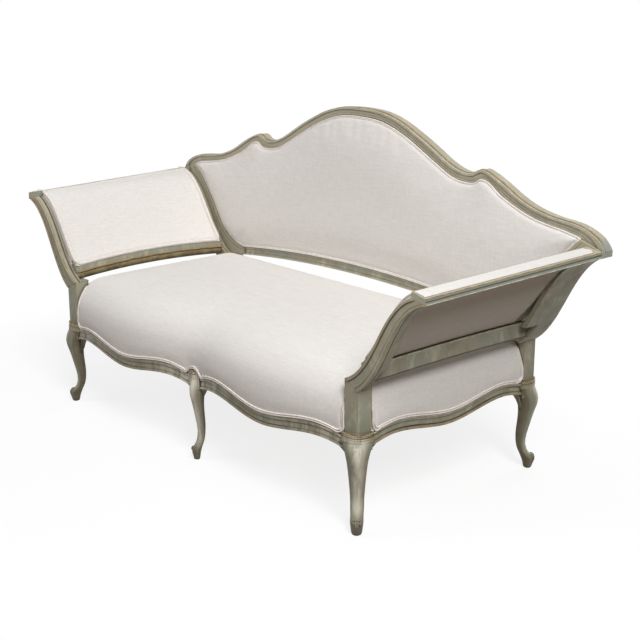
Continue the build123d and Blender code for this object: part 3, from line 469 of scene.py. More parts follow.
def side_edge(y, height):
    """The same along a side rail."""
    return scallop_z(np.clip((y + BACK_OF_POST) / (2 * BACK_OF_POST), 0, 1), RAIL_LOW + SIDE_LIFT + height)


def mirrored(points):
    out = np.array(points, float)
    out[..., 0] *= -1
    return out


def at_depth(flat, y):
    """A flat line or grid stood upright at one depth, or at a depth for each point."""
    return np.stack([flat[..., 0], np.broadcast_to(y, flat.shape[:-1]), flat[..., 1]], -1)


# Meshes
def to_row(points):
    out = np.array(points, float)
    out[..., 1] += SHIFT
    return out * MM


def piece(name, verts, faces, material, slot, replaces=(), smooth_shade=True):
    mesh = bpy.data.meshes.new(name)
    mesh.from_pydata(to_row(verts).tolist(), [], [tuple(int(i) for i in f) for f in faces])
    mesh.validate()
    mesh.update()
    for poly in mesh.polygons:
        poly.use_smooth = smooth_shade
    obj = bpy.data.objects.new(name, mesh)
    bpy.context.scene.collection.objects.link(obj)
    mesh.materials.append(material)
    if replaces:
        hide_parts(*replaces)
    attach(obj, "root")
    return obj


def sheet_faces(nu, nv, first=0, flip=False):
    faces = []
    for i in range(nu - 1):
        for j in range(nv - 1):
            a = first + i * nv + j
            quad = (a, a + nv, a + nv + 1, a + 1)
            faces.append(quad[::-1] if flip else quad)
    return faces


def closed_pad(front, back):
    """Two matching grids joined along their borders into one closed form."""
    nu, nv = front.shape[:2]
    verts = np.concatenate([front.reshape(-1, 3), back.reshape(-1, 3)])
    n = nu * nv
    faces = sheet_faces(nu, nv) + sheet_faces(nu, nv, n, True)
    rim = [i * nv for i in range(nu)] + [(nu - 1) * nv + j for j in range(1, nv)]
    rim += [i * nv + nv - 1 for i in range(nu - 2, -1, -1)] + [j for j in range(nv - 2, 0, -1)]
    for a, b in zip(rim, rim[1:] + rim[:1]):
        faces.append((b, a, a + n, b + n))
    return verts, faces


def tube(path, radius, sides=10, closed=False):
    """Round cord along a path, with rounded ends when it is open."""
    p = np.asarray(path, float)
    n = len(p)
    if closed:
        tangent = np.roll(p, -1, 0) - np.roll(p, 1, 0)
    else:
        tangent = np.gradient(p, axis=0)
    tangent = unit(tangent)
    normal = np.cross(tangent[0], (0.3, 0.5, 0.81))
    rings = []
    for i in range(n):
        normal = normal - tangent[i] * (normal @ tangent[i])
        normal /= np.linalg.norm(normal)
        across = np.cross(tangent[i], normal)
        angle = np.linspace(0, 2 * np.pi, sides, endpoint=False)[:, None]
        rings.append(p[i] + radius * (np.cos(angle) * normal + np.sin(angle) * across))
    verts = np.concatenate(rings)
    faces = []
    for i in range(n if closed else n - 1):
        for j in range(sides):
            a, b = i * sides + j, i * sides + (j + 1) % sides
            c, d = ((i + 1) % n) * sides + (j + 1) % sides, ((i + 1) % n) * sides + j
            faces.append((a, b, c, d))
    if not closed:
        faces += [tuple(range(sides))[::-1], tuple((n - 1) * sides + j for j in range(sides))]
    return verts, faces


def both_sides(verts, faces):
    """A form on the right and its mirror image on the left."""
    return [(verts, faces), (mirrored(verts), [f[::-1] for f in faces])]


def join(parts):
    verts, faces, start = [], [], 0
    for v, f in parts:
        verts.append(v)
        faces += [tuple(i + start for i in face) for face in f]
        start += len(v)
    return np.concatenate(verts), faces


def swell(obj, pinned, pressure, cap, frames=18):
    """Blows the piece up a little as cloth, held where it is tacked, and keeps the result."""
    scene = bpy.context.scene
    before = np.array([v.co[:] for v in obj.data.vertices])
    group = obj.vertex_groups.new(name="tacked")
    group.add([int(i) for i in np.nonzero(pinned)[0]], 1.0, "REPLACE")
    mod = obj.modifiers.new("cloth", "CLOTH")
    cloth = mod.settings
    cloth.quality = 4
    cloth.mass = 0.4
    cloth.tension_stiffness = cloth.compression_stiffness = 40.0
    cloth.shear_stiffness = 20.0
    cloth.bending_stiffness = 6.0
    cloth.use_pressure = True
    cloth.uniform_pressure_force = pressure
    cloth.vertex_group_mass = "tacked"
    cloth.effector_weights.gravity = 0.0
    mod.collision_settings.use_collision = False
    mod.point_cache.frame_start, mod.point_cache.frame_end = 1, frames
    for number in range(1, frames + 1):
        scene.frame_set(number)
    shaped = obj.evaluated_get(bpy.context.evaluated_depsgraph_get()).to_mesh()
    after = np.array([v.co[:] for v in shaped.vertices])
    obj.modifiers.remove(mod)
    scene.frame_set(1)
    move = after - before
    length = np.linalg.norm(move, axis=1)[:, None]
    limit = cap * MM
    move *= limit * np.tanh(length / limit) / np.maximum(length, 1e-9)
    obj.data.vertices.foreach_set("co", (before + move).ravel())
    obj.data.update()


def refine(obj):
    finer = obj.modifiers.new("finer", "SUBSURF")
    finer.levels = finer.render_levels = 1


make_camera()
make_world()
make_floor()
bpy.context.scene.view_settings.view_transform = "Standard"

PAINT = paint_material()
GILT = line_material("gilt_line", rgb(172, 138, 88), rgb(128, 106, 72))
# umber lines: umber glaze and painted shadow lines along the mouldings' steps and in the toes' grooves
UMBER_SHADOW = line_material("umber_shadow_line", rgb(66, 54, 36), rgb(92, 80, 56))
BAND = line_material("dark_band", rgb(104, 90, 60), rgb(128, 116, 84))
PALE = line_material("pale_line", rgb(206, 200, 180), rgb(168, 160, 134))
LINEN = linen_material("linen", rgb(230, 227, 223), rgb(218, 213, 208))
CORD = linen_material("welt_cord", rgb(239, 233, 228), rgb(214, 205, 198))
CANVAS = plain_material("canvas", rgb(190, 172, 142), rgb(160, 142, 112), 240.0, 0.95)
JUTE = plain_material("jute", rgb(188, 164, 120), rgb(150, 126, 88), 160.0, 0.95, stretch=(0.2, 1, 1))
RAW = plain_material("raw_wood", rgb(182, 150, 108), rgb(150, 118, 80), 30.0, 0.75, stretch=(0.15, 1, 1))
STEEL = plain_material("steel", rgb(150, 148, 144), rgb(112, 110, 108), 50.0, 0.4, metallic=0.9)

# Frame nodes keep their solids, with softened edges and new finishes
FINISH = {"painted_frame": PAINT, "raw_wood": RAW, "spring_steel": STEEL, "canvas": CANVAS, "webbing": JUTE,
          "linen": LINEN, "welt_cord": CORD, "hair_stuffing": JUTE}
for part in frame["record"]["subparts"]:
    node = frame["nodes"][part["node"]]
    node.data.materials.clear()
    node.data.materials.append(FINISH[part["material_slot"]])
    if part["material_slot"] == "painted_frame":
        soften = node.modifiers.new("soften", "BEVEL")
        soften.width = EDGE_SOFT * MM
        soften.segments = 2
        soften.limit_method = "ANGLE"
        soften.angle_limit = math.radians(40)
        soften.use_clamp_overlap = True


# Seat: outline in plan with a notch round each post, drawn up the sides and over the crown
SEAT_CORNER = 74.0
MITRE_BLEND = 0.7  # how far the crown's corners are rounded, as a share of the depth
CAP_HALF, CAP_FALL = 46, 0.012  # half width and fall of the seat's edge over the centre leg
REAR_FROM, REAR_OVER = 130, 150  # where the rear's own profile comes in
SEAT_CORE = 360  # half length of the crown's middle line
SEAT_UNDER = ((1.0, 398.0), (0.5, 398.0), (0.24, 397.0), (0.17, 330.0), (0.1, 317.0))  # share inward, height
SEAT_TURN_IN, RAIL_SEAT = 6.0, 317.0  # folded edge, and the height over the rail tops
SEAT_RINGS = (1.5, 4, 8, 13, 20, 28, 37, 48, 62, 80, 102, 130, 160, 195, 235, 280)
SEAT_BELLY, POST_ROOM, SEAT_TACKED = 3.0, 40, 9  # the last one counts rings
SEAT_GAP = 1.6  # between the cloth and a post
LOW_AT_POST = 300.0  # height of the cloth's edge beside a post
CROWN_RUN = 300  # ring depth that would reach the crown's middle line
BOW_EASE = 36.0
SEAT_DEPTHS = [0, 2, 5, 9, 14, 20, 28, 36, 45, 56, 68, 80, 92, 110, 128, 165, 205, 250, 320, 400]
SEAT_HEIGHTS = [
    336, 347, 359.5, 371, 381.5, 391.5, 402.5, 412, 421, 430, 437.5, 443.5, 448.5, 454.5, 459.5, 466.5, 471,
    474.5, 476.6, 477.5,
]
REAR_DEPTHS = [0, 6, 14, 22, 34, 46, 56, 70, 85, 103, 125, 150, 178, 205, 230, 260, 330, 400]
REAR_HEIGHTS = [
    335, 352, 372, 387, 405, 419, 428, 438, 446.5, 454.5, 461.3, 466.3, 470, 472.5, 474, 475.3, 476.8, 477.5,
]


def seat_outline(count):
    face, half, rear = FACE_Y - 1.0, POST_OUT - 1.0, FACE_Y - 1.5
    notch_x, notch_y = POST_IN - SEAT_GAP, BACK_OF_POST - SEAT_GAP
    bay = [(x, -face - front_bow(x)) for x in np.linspace(0, notch_x, 60)]
    right = bay + [(notch_x, -notch_y), (half, -notch_y), (half, notch_y)]
    right += [(notch_x, notch_y), (notch_x, rear), (0, rear)]
    left = [(-x, y) for x, y in right[::-1]][1:-1]
    dense = []
    loop = right + left
    for a, b in zip(loop, loop[1:] + loop[:1]):
        steps = max(2, int(math.dist(a, b) / 3))
        dense += [tuple(np.array(a) + (np.array(b) - a) * k / steps) for k in range(steps)]
    closed = np.array(dense + dense[:1])
    line = even(closed, count + 1)[:-1]
    for _ in range(3):
        line = 0.5 * line + 0.25 * (np.roll(line, 1, 0) + np.roll(line, -1, 0))
    return line


def seat_low_edge(line):
    """Height of the tacked edge below each outline point."""
    low = np.full(len(line), LOW_AT_POST)
    for k, (x, y) in enumerate(line):
        if y < -BACK_OF_POST - 4:
            base = float(front_edge(x, RAIL_FACE))
            low[k] = max(base, CAP_TOP + 1 - CAP_FALL * x * x) if abs(x) < CAP_HALF else base
        elif y > BACK_OF_POST + 4:
            low[k] = RAIL_LOW + END_LIFT + RAIL_FACE
        elif abs(x) > POST_IN + 6:
            low[k] = float(side_edge(y, RAIL_FACE))
    return low + 1.0


def eased_bow():
    """The front's two bows with the hollow between them softened."""
    x = np.arange(-900.0, 901.0, 2.0)
    kernel = np.exp(-(np.arange(-90.0, 91.0, 2.0) / BOW_EASE) ** 2 / 2)
    return x, np.convolve(front_bow(x), kernel / kernel.sum(), "same")


EASED_BOW = eased_bow()


def edge_depth(x, y):
    """Distance in from the seat's plain outline, rounded at the corners."""
    front = y + FACE_Y + np.interp(np.abs(x), *EASED_BOW)
    b = np.minimum(front, FACE_Y - y)
    a = POST_OUT - np.abs(x)
    r = SEAT_CORNER
    corner = r - np.hypot(np.maximum(r - a, 0), np.maximum(r - b, 0))
    blend = MITRE_BLEND * np.maximum(np.minimum(a, b) - r, 0)
    inside = (a + b - np.hypot(a - b, blend)) / 2
    return np.maximum(np.where((a < r) & (b < r), corner, inside), 0)


def seat_height(x, y):
    """Height of the seat over a point of its plan: rounder and lower along the rear."""
    d = edge_depth(x, y)
    rear = np.clip((y - REAR_FROM) / REAR_OVER, 0, 1)
    rear = rear * rear * (3 - 2 * rear)
    sides = np.interp(d, SEAT_DEPTHS, SEAT_HEIGHTS)
    return sides + rear * (np.interp(d, REAR_DEPTHS, REAR_HEIGHTS) - sides)


def make_seat():
    count = 720
    line = seat_outline(count)
    core = np.stack([np.clip(line[:, 0], -SEAT_CORE, SEAT_CORE), np.zeros(count)], 1)
    reach = np.linalg.norm(core - line, axis=1)
    away = (core - line) / reach[:, None]
    low = seat_low_edge(line)
    step = np.roll(line, -1, 0) - np.roll(line, 1, 0)
    out = unit(np.stack([step[:, 1], -step[:, 0]], 1))
    rings = []

    def ring(plan, height):
        rings.append(np.column_stack([plan, np.broadcast_to(height, count)]))

    # underside: inside the tacked edge, over the rail tops, up to the spring canvas
    for share, height in SEAT_UNDER:
        ring(line + (core - line) * share, height)
    inner = line - out * SEAT_TURN_IN
    ring(inner, RAIL_SEAT)
    ring(inner, low + 1.0)
    ring(line, low)
    # up the sides, a little full except beside the posts, then over the crown
    brim = seat_height(line[:, 0], line[:, 1])
    free = np.abs(np.abs(line) - (POST_X, POST_Y)).max(1) > POST_ROOM
    for share in np.linspace(0, 1, 13)[1:]:
        belly = SEAT_BELLY * math.sin(math.pi * share)
        ring(line + out * (belly * free)[:, None], low + (brim - low) * share)
    for depth in SEAT_RINGS:
        spot = line + away * np.minimum(depth, reach * depth / CROWN_RUN)[:, None]
        ring(spot, seat_height(spot[:, 0], spot[:, 1]))
    ring(core, seat_height(core[:, 0], core[:, 1]))
    faces = []
    for k in range(len(rings) - 1):
        for j in range(count):
            a, b = k * count + j, k * count + (j + 1) % count
            faces.append((a, b, b + count, a + count))
    stands_for = ("seat_cover", "seat_stuffing")
    seat = piece("seat_upholstery", np.concatenate(rings), faces, LINEN, "linen", stands_for)
    swell(seat, np.repeat(np.arange(len(rings)), count) < SEAT_TACKED, pressure=1.2, cap=7.0)
    refine(seat)


# Back: a four-sided patch inside the frame's opening
BACK_LIP, BACK_ROLL, BACK_CROWN = 3.0, 9.0, 14.0  # heights of the border, its roll and the crown
BACK_ROLL_W, BACK_CROWN_W = 14, 190
BACK_CLOTH_Y, BACK_CLOTH_T = FACE_Y - 6.5, 1.2
BACK_CORD_Y = BACK_Y - 6.2


def back_borders(inset):
    def place(points):
        p = np.array(points, float)
        height = BACK_MIDDLE + (p[:, 1] - BACK_MIDDLE) * (1 - inset / BACK_HALF_H)
        return np.column_stack([p[:, 0] * (1 - inset / BACK_HALF_W), height])

    stile = place(smooth(STILE_INNER, 300))
    cut = int(np.argmin(np.hypot(stile[:, 0] - STILE_CORNER[0], stile[:, 1] - STILE_CORNER[1])))
    brow = place(smooth(SIDE_INNER, 300))
    arch = place(smooth([(-x, z) for x, z in ARCH_INNER[:0:-1]] + ARCH_INNER, 400))
    x = np.linspace(-BOTTOM_HALF, BOTTOM_HALF, 200)
    bottom = place(np.column_stack([x, BOTTOM_OVER[0] - BOTTOM_OVER[1] * (x / BOTTOM_HALF) ** 2]))
    low = np.concatenate([mirrored(stile[cut:]), bottom[1:-1], stile[cut:][::-1]])
    side = stile[:cut + 1][::-1]
    top = np.concatenate([mirrored(brow[::-1]), arch[1:-1], brow])
    return low, side, top


def coons(low, high, left, right):
    nu, nv = len(low), len(left)
    u = np.linspace(0, 1, nu)[:, None, None]
    v = np.linspace(0, 1, nv)[None, :, None]
    grid = (1 - v) * low[:, None] + v * high[:, None] + (1 - u) * left[None] + u * right[None]
    corners = (1 - u) * (1 - v) * low[0] + u * (1 - v) * low[-1]
    return grid - (corners + (1 - u) * v * high[0] + u * v * high[-1])


def back_grid(inset, nu, nv):
    low, side, top = back_borders(inset)
    side = even(side, nv)
    return coons(even(low, nu), even(top, nu), mirrored(side), side)


def border_distance(grid):
    rim = np.concatenate([grid[0], grid[-1], grid[:, 0], grid[:, -1]])
    flat = grid.reshape(-1, 2)
    out = np.empty(len(flat))
    for k in range(0, len(flat), 2000):
        out[k:k + 2000] = np.sqrt(((flat[k:k + 2000, None] - rim[None]) ** 2).sum(2)).min(1)
    return out.reshape(grid.shape[:2])


def make_back():
    grid = back_grid(2.0, 181, 67)
    d = border_distance(grid)
    roll = BACK_ROLL * np.clip(d / BACK_ROLL_W, 0, 1) ** 0.6
    rise = BACK_LIP + roll + BACK_CROWN * (1 - (1 - np.clip(d / BACK_CROWN_W, 0, 1)) ** 2.4)
    verts, faces = closed_pad(at_depth(grid, BACK_Y - rise), at_depth(grid, BACK_Y + 5.0))
    back = piece("back_upholstery", verts, faces, LINEN, "linen", ("back_pad",))
    tacked = np.concatenate([(d < 1.0).ravel(), np.ones(d.size, bool)])
    swell(back, tacked, pressure=1.0, cap=6.0)
    refine(back)


def make_back_cloth():
    flat = back_grid(1.0, 121, 45)
    verts, faces = closed_pad(at_depth(flat, BACK_CLOTH_Y - BACK_CLOTH_T), at_depth(flat, BACK_CLOTH_Y))
    panel = piece("back_outer_cloth", verts, faces, LINEN, "linen", ("back_outside_panel",))


def make_back_cord():
    cords = []
    for inset in CORD_GAPS:
        low, side, top = back_borders(inset)
        loop = np.concatenate([low[:-1], side[:-1], top[::-1][:-1], mirrored(side)[::-1][:-1]])
        loop = even(np.concatenate([loop, loop[:1]]), 901)[:-1]
        cords.append(tube(at_depth(loop, BACK_CORD_Y), BACK_CORD_R, CORD_SIDES, True))
    piece("back_double_cord", *join(cords), CORD, "welt_cord", ("back_welt",))


# Arms
ARM_CORNER = 26.0
ARM_FROM = 0.25  # where the padding leaves the inner curve, as a share of it
ARM_FLAT, ARM_CROWN_W = 9.0, 110  # border without a crown, and the run up to the full one
ARM_LIP, ARM_CROWN, ARM_BROW = 2.0, 14.0, 60.0
LIP_SET, LIP_RISE = 8.0, 1.6  # the cloth's outer edge on the top rail
GROOVE, GROOVE_AT, GROOVE_W = 4.2, 12.8, 3.0  # hollow beside the double cord
CORD_LIFT = 2.6
CORD_LOW, CORD_TOP, CORD_BEND = 0.9, 0.7, 0.6  # parts of a cord's gap that it is set in by
ARM_ENDS = np.array([0, 1, 2.5, 4.5, 6.5, 8.5, 10.5, 12.5, 14.5, 16.5, 19, 22.5, 27])
TACKED_ROWS, TACKED_COLUMNS = 9, 7
FLAP_EDGE, FLAP_LOW, FLAP_RISE, FLAP_W = 5.0, 1.2, 3.0, 6  # cloth on top of the stump
STUMP_LIP_FROM, STUMP_LIP_TO, STUMP_LIP_DEPTH = 0.22, 0.97, 17.0
STUMP_LIP_NEAR, STUMP_LIP_FAR, EASING_NEAR, EASING_FAR = 4.6, 0.4, 1.0, 12.0
BACKING = 0.6  # height of the cloth's underside over the top rail
BACKING_DEPTH, BACKING_FOOT = 12, 22.0  # line behind the padding, from its face and from the rail's edge
ARM_CLOTH_T, ARM_CLOTH_SET, ARM_SAG = 1.4, 6.0, 4.0
ARM_CLOTH_FROM, ARM_CLOTH_TO = 0.29, 0.96


def split_curve(p, a, b):
    def blossom(x, y, z):
        q = [p[i] + (p[i + 1] - p[i]) * x for i in range(3)]
        r = [q[i] + (q[i + 1] - q[i]) * y for i in range(2)]
        return r[0] + (r[1] - r[0]) * z
    return np.array([blossom(a, a, a), blossom(a, a, b), blossom(a, b, b), blossom(b, b, b)])


def lower_edge(y, across):
    """Point on top of the arm's lower rail at one depth, from its inner edge."""
    run = (UPRIGHT_FRONT - STUMP_REAR) / 2
    swelling = 1 - ((y - (UPRIGHT_FRONT + STUMP_REAR) / 2) / run) ** 2
    top = ELBOW_IN + LOWER_H + LOWER_ARCH * swelling
    return np.array([LOWER_X + LOWER_BOW * swelling + across, top + 1.0])


def rail_top(y, x):
    """Height of the arm's top rail at one depth and width."""
    inner = arm_curves(y)[0]
    return inner[3][1] - TOP_TILT * (x - inner[3][0]) / TOP_W + TOP_T


def end_distance(y):
    return min(y - STUMP_REAR, UPRIGHT_FRONT - y)


def arm_section(y):
    """Face of the arm's padding at one depth, from the lower rail up and over the top rail."""
    inner, outer = arm_curves(y)
    free = min(max(end_distance(y) - ARM_FLAT, 0.0) / ARM_CROWN_W, 1)
    swelling = ARM_LIP + ARM_CROWN * (1 - (1 - free) ** 2.4)
    line = split_curve(inner, ARM_FROM, 1.0)
    lip_x = outer[3][0] - LIP_SET
    lip = np.array([lip_x, rail_top(y, lip_x) + LIP_RISE])
    brow = line[2] + (swelling, ARM_BROW + swelling)
    control = np.array([lower_edge(y, 1.0), line[1] + LEAN * swelling, brow, lip])
    return even(bezier(control, np.linspace(0, 1, 240)), 240)


def corner_rise(d, radius):
    """Height of a rounded corner above its straight edge, at a distance from the end."""
    inside = max(radius - max(d, 0.0), 0.0)
    return radius - math.sqrt(radius ** 2 - inside ** 2)


def part_of(line, start, stop, count):
    """Stretch of a line between two lengths along it; a stop below zero counts from the end."""
    t = lengths(line)
    spread = np.linspace(0, 1, count) if np.isscalar(count) else np.asarray(count)
    s = start + ((stop if stop > 0 else t[-1] + stop) - start) * spread
    return np.stack([np.interp(s, t, line[:, i]) for i in range(2)], 1)


def arm_backing(y, count):
    """Line behind the padding: inside the arm, then over the top rail."""
    inner, outer = arm_curves(y)
    behind = split_curve(inner, ARM_FROM, 1.0) - LEAN * BACKING_DEPTH
    control = np.array([lower_edge(y, BACKING_FOOT), behind[1], behind[2], inner[3] + (-1.0, -6.0)])
    low = bezier(control, np.linspace(0, 1, 120))
    corner_x, lip_x = inner[3][0] - 1.0, outer[3][0] - LIP_SET
    over = np.array([(x, rail_top(y, x) + BACKING) for x in (corner_x, lip_x)])
    return even(np.concatenate([low, over]), count)


def sections(ys, section):
    """Two grids from a function that gives the near and the far line at one depth."""
    pairs = np.array([[at_depth(line, y) for line in section(y)] for y in ys])
    return pairs[:, 0], pairs[:, 1]


def on_side(side, near, far):
    """Closed form between two grids, on the right or mirrored to the left."""
    verts, faces = closed_pad(near, far)
    return both_sides(verts, faces)[0 if side > 0 else 1]


def named(name, side):
    return name + ("_right" if side > 0 else "_left")


def make_arm_pad(side):
    low_part, high_part = np.linspace(0, 0.06, 10), np.linspace(0.95, 1, 9)
    spread = np.concatenate([low_part, np.linspace(0.06, 0.95, 42)[1:-1], high_part])
    span, last = UPRIGHT_FRONT - STUMP_REAR - 2, ARM_ENDS[-1]
    middle = np.linspace(last, span - last, 113 - 2 * len(ARM_ENDS))[1:-1]
    ys = STUMP_REAR + 1 + np.concatenate([ARM_ENDS, middle, (span - ARM_ENDS)[::-1]])

    def padding(y):
        rise = corner_rise(end_distance(y) - 1.0, ARM_CORNER)
        face = part_of(arm_section(y), rise, -0.01, spread)
        run = lengths(face)
        border = np.minimum(np.minimum(run, run[-1] - run), end_distance(y))
        dip = GROOVE * np.exp(-((border - GROOVE_AT) / GROOVE_W) ** 2)
        return face - LEAN * dip[:, None], arm_backing(y, len(spread))

    def flap(y):
        inner, outer = arm_curves(y)
        xs = np.linspace(inner[3][0] + 3.0, outer[3][0] - LIP_SET, 13)
        tops = np.array([rail_top(y, x) for x in xs])
        edge = np.minimum(np.minimum(xs - xs[0], xs[-1] - xs), y + FACE_Y - FLAP_EDGE)
        over = tops + FLAP_LOW + FLAP_RISE * np.clip(edge / FLAP_W, 0, 1) ** 0.5
        return np.column_stack([xs, over]), np.column_stack([xs, tops + BACKING])

    main = on_side(side, *sections(ys, padding))
    top = on_side(side, *sections(np.linspace(-FACE_Y + FLAP_EDGE, STUMP_REAR + 2.0, 9), flap))
    verts, faces = join([main, top])
    pad = piece(named("arm_upholstery", side), verts, faces, LINEN, "linen", (named("arm_pad", side),))
    tacked = np.zeros((len(ys), len(spread)), bool)
    tacked[:TACKED_ROWS] = tacked[-TACKED_ROWS:] = True
    tacked[:, :TACKED_COLUMNS] = tacked[:, -TACKED_COLUMNS:] = True
    tacked = np.concatenate([tacked.ravel(), np.ones(len(verts) - tacked.size, bool)])
    swell(pad, tacked, pressure=1.0, cap=4.0)
    refine(pad)


def make_arm_easing(side):
    """Wood in the two lower corners, under the rounded corners of the padding."""
    def corner(y):
        rise = corner_rise(end_distance(y) - 1.0, ARM_CORNER)
        run = part_of(arm_section(y), 0.0, rise + 2.0, 7)
        return run - LEAN * EASING_NEAR, run - LEAN * EASING_FAR

    blocks = []
    steps = np.linspace(0.0, ARM_CORNER - 1.0, 10)
    for ys, way in ((STUMP_REAR + steps, 1), (UPRIGHT_FRONT - steps, -1)):
        verts, faces = on_side(side, *sections(ys, corner))
        blocks.append((verts, [f[::way] for f in faces]))
    piece(named("arm_corner_easing", side), *join(blocks), PAINT, "painted_frame")


def make_stump_lip(side):
    """Lip of the stump outside the cloth."""
    def lip(y):
        control = split_curve(arm_curves(y)[1], STUMP_LIP_FROM, STUMP_LIP_TO)
        line = even(bezier(control, np.linspace(0, 1, 120)), 40)
        return line + LEAN * STUMP_LIP_NEAR, line + LEAN * STUMP_LIP_FAR

    ys = np.linspace(STUMP_REAR - 1.0, STUMP_REAR + STUMP_LIP_DEPTH, 12)
    verts, faces = on_side(side, *sections(ys, lip))
    piece(named("arm_stump_lip", side), verts, faces, PAINT, "painted_frame")


def make_arm_cord(side):
    """Double cord along the lower edge and both ends. It returns along the lower edge, not the outer lip."""
    cords = []
    for gap in CORD_GAPS:
        radius = ARM_CORNER - gap * CORD_BEND
        base, back = [], []
        for y in np.linspace(STUMP_REAR + gap, UPRIGHT_FRONT - gap, 240):
            section = arm_section(y)
            low = gap * CORD_LOW + corner_rise(end_distance(y) - gap, radius)
            far = part_of(section, 0.0, -gap * CORD_TOP - 0.5, 2)
            for store, pair, way in ((base, part_of(section, low, low + 0.5, 2), 1), (back, far, -1)):
                tangent = (pair[1] - pair[0]) * way
                normal = np.array([-tangent[1], tangent[0]]) / np.linalg.norm(tangent)
                point = pair[0] + normal * CORD_LIFT
                store.append((point[0], y, point[1]))
        rises = []
        for y in (UPRIGHT_FRONT - gap, STUMP_REAR + gap):
            run = part_of(arm_section(y), gap * CORD_LOW + radius, -gap * CORD_TOP - 4.0, 70)
            rises.append(at_depth(run + normals(run) * CORD_LIFT, y))
        base, back = np.array(base)[1:-1], np.array(back)[::-1][2:-2]
        loop = np.concatenate([base, rises[0], back, rises[1][::-1]]) * (side, 1, 1)
        loop = even(np.concatenate([loop, loop[:1]]), 641)[:-1]
        cords.append(tube(loop, ARM_CORD_R, CORD_SIDES, True))
    piece(named("arm_double_cord", side), *join(cords), CORD, "welt_cord", (named("arm_welt", side),))


def make_arm_cloth(side):
    """Outside cloth, stretched between the rails."""
    nu, nv = 41, 31
    ys = np.linspace(STUMP_REAR + 0.5, FLANGE_FRONT - 0.5, nu)

    def cloth(y):
        control = split_curve(arm_curves(y)[1], ARM_CLOTH_FROM, ARM_CLOTH_TO)
        control[0] = lower_edge(y, LOWER_W)
        line = even(bezier(control, np.linspace(0, 1, 120)), nv)
        share = (y - ys[0]) / (ys[-1] - ys[0])
        sag = ARM_SAG * math.sin(math.pi * share) * np.sin(np.pi * np.linspace(0, 1, nv))[:, None]
        return line + LEAN * (ARM_CLOTH_SET + ARM_CLOTH_T + sag), line + LEAN * (ARM_CLOTH_SET + sag)

    near, far = sections(ys, cloth)
    verts, faces = on_side(side, near, far)
    stands_for = (named("arm_outside_panel", side),)
    panel = piece(named("arm_outer_cloth", side), verts, faces, LINEN, "linen", stands_for)
    wide, tall = (FLANGE_FRONT - STUMP_REAR - 1.0) * MM, float(lengths(far[nu // 2])[-1]) * MM
    named("arm_lower_rail", side)


# Double cord above the seat rails and up beside the posts
FRONT_CORD_TOP, REAR_CORD_TOP = 334, 328  # where it turns in over the seat
CORD_RISE = RAIL_LOW + RAIL_FACE + 34  # where it leaves the rail for the post
CORD_TURN = 14  # room for its bend beside a post
CAP_WELT, CAP_WELT_FALL = 2.0, 0.016
CAP_PROUD, CAP_CLEAR, CAP_EASE = 3.5, 52, 14  # how far it stands out over the centre cap, to where, run


def front_welt_z(x):
    """Lower edge of the seat cloth along the front, rising over the centre leg's cap."""
    cap = CAP_TOP + CAP_WELT - CAP_WELT_FALL * np.asarray(x) ** 2
    return np.maximum(front_edge(x, RAIL_FACE), cap)


def make_seat_cord():
    cords = []
    for gap in SEAT_CORD_GAPS:
        # front: one run from post to post, then up beside each post and back over the seat's corner
        xs = np.linspace(0, POST_IN - CORD_TURN - gap, 150)
        proud = 1.0 + CAP_PROUD * np.clip((CAP_CLEAR - xs) / CAP_EASE, 0, 1)
        run = np.column_stack([xs, -FACE_Y - front_bow(xs) - proud, front_welt_z(xs) + gap])
        x = POST_IN - 1.0 - gap
        up = np.array([(x, -FACE_Y - 1.0, h) for h in np.linspace(CORD_RISE, FRONT_CORD_TOP, 9)])
        ys = np.linspace(-FACE_Y + 4, -BACK_OF_POST - 4, 12)
        over = np.column_stack([np.full(12, x), ys, seat_height(np.full(12, x), ys) + 1.0])
        line = np.concatenate([run, up, over])
        right = even(smooth(line[::3], 500), 420)
        cords.append(tube(np.concatenate([mirrored(right[::-1]), right[1:]]), SEAT_CORD_R, CORD_SIDES))
        # sides
        for side in (1, -1):
            span = BACK_OF_POST - CORD_TURN - gap
            ys = np.linspace(-span, span, 120)
            run = np.column_stack([np.full(120, POST_OUT + 0.8), ys, side_edge(ys, RAIL_FACE) + gap])
            y = BACK_OF_POST - 1.0 - gap
            start = CORD_RISE + SIDE_LIFT
            first = [(POST_OUT + 0.8, -y, h) for h in np.linspace(FRONT_CORD_TOP, start, 9)]
            last = [(POST_OUT + 0.8, y, h) for h in np.linspace(start, REAR_CORD_TOP, 9)]
            xs = np.linspace(POST_OUT - 4, POST_IN + 4, 12)
            before = np.column_stack([xs, np.full(12, -y), seat_height(xs, np.full(12, -y)) + 1.0])[::-1]
            after = np.column_stack([xs, np.full(12, y), seat_height(xs, np.full(12, y)) + 1.0])
            line = np.concatenate([before, first, run, last, after])
            cords.append(tube(even(smooth(line[::3], 500), 420) * (side, 1, 1), SEAT_CORD_R, CORD_SIDES))
    piece("seat_double_cord", *join(cords), CORD, "welt_cord", ("seat_welt",))


# Painted and gilt lines on the mouldings, with painted shadow lines and a painted highlight among them
def leg_ring(height, girth=1.0):
    """Outer half of a leg's section at one height, in the leg's own axes."""
    levels = np.array(COLLAR_LEVELS, float)
    reach, depth, width = (np.interp(height, levels[:, 0], levels[:, k]) for k in (1, 2, 3))
    a, b = depth / 2 * girth, width / 2 * girth
    corners = [(0, -b), (LEG_RIDGE * a, -LEG_RIDGE * b), (a, 0), (LEG_RIDGE * a, LEG_RIDGE * b), (0, b)]
    first, last = (-LEG_RIDGE * a, -LEG_RIDGE * b), (-LEG_RIDGE * a, LEG_RIDGE * b)
    ring = smooth([first] + corners + [last], 90)[8:-8]
    return np.column_stack([ring[:, 0] + reach * girth, ring[:, 1], np.full(len(ring), height)])


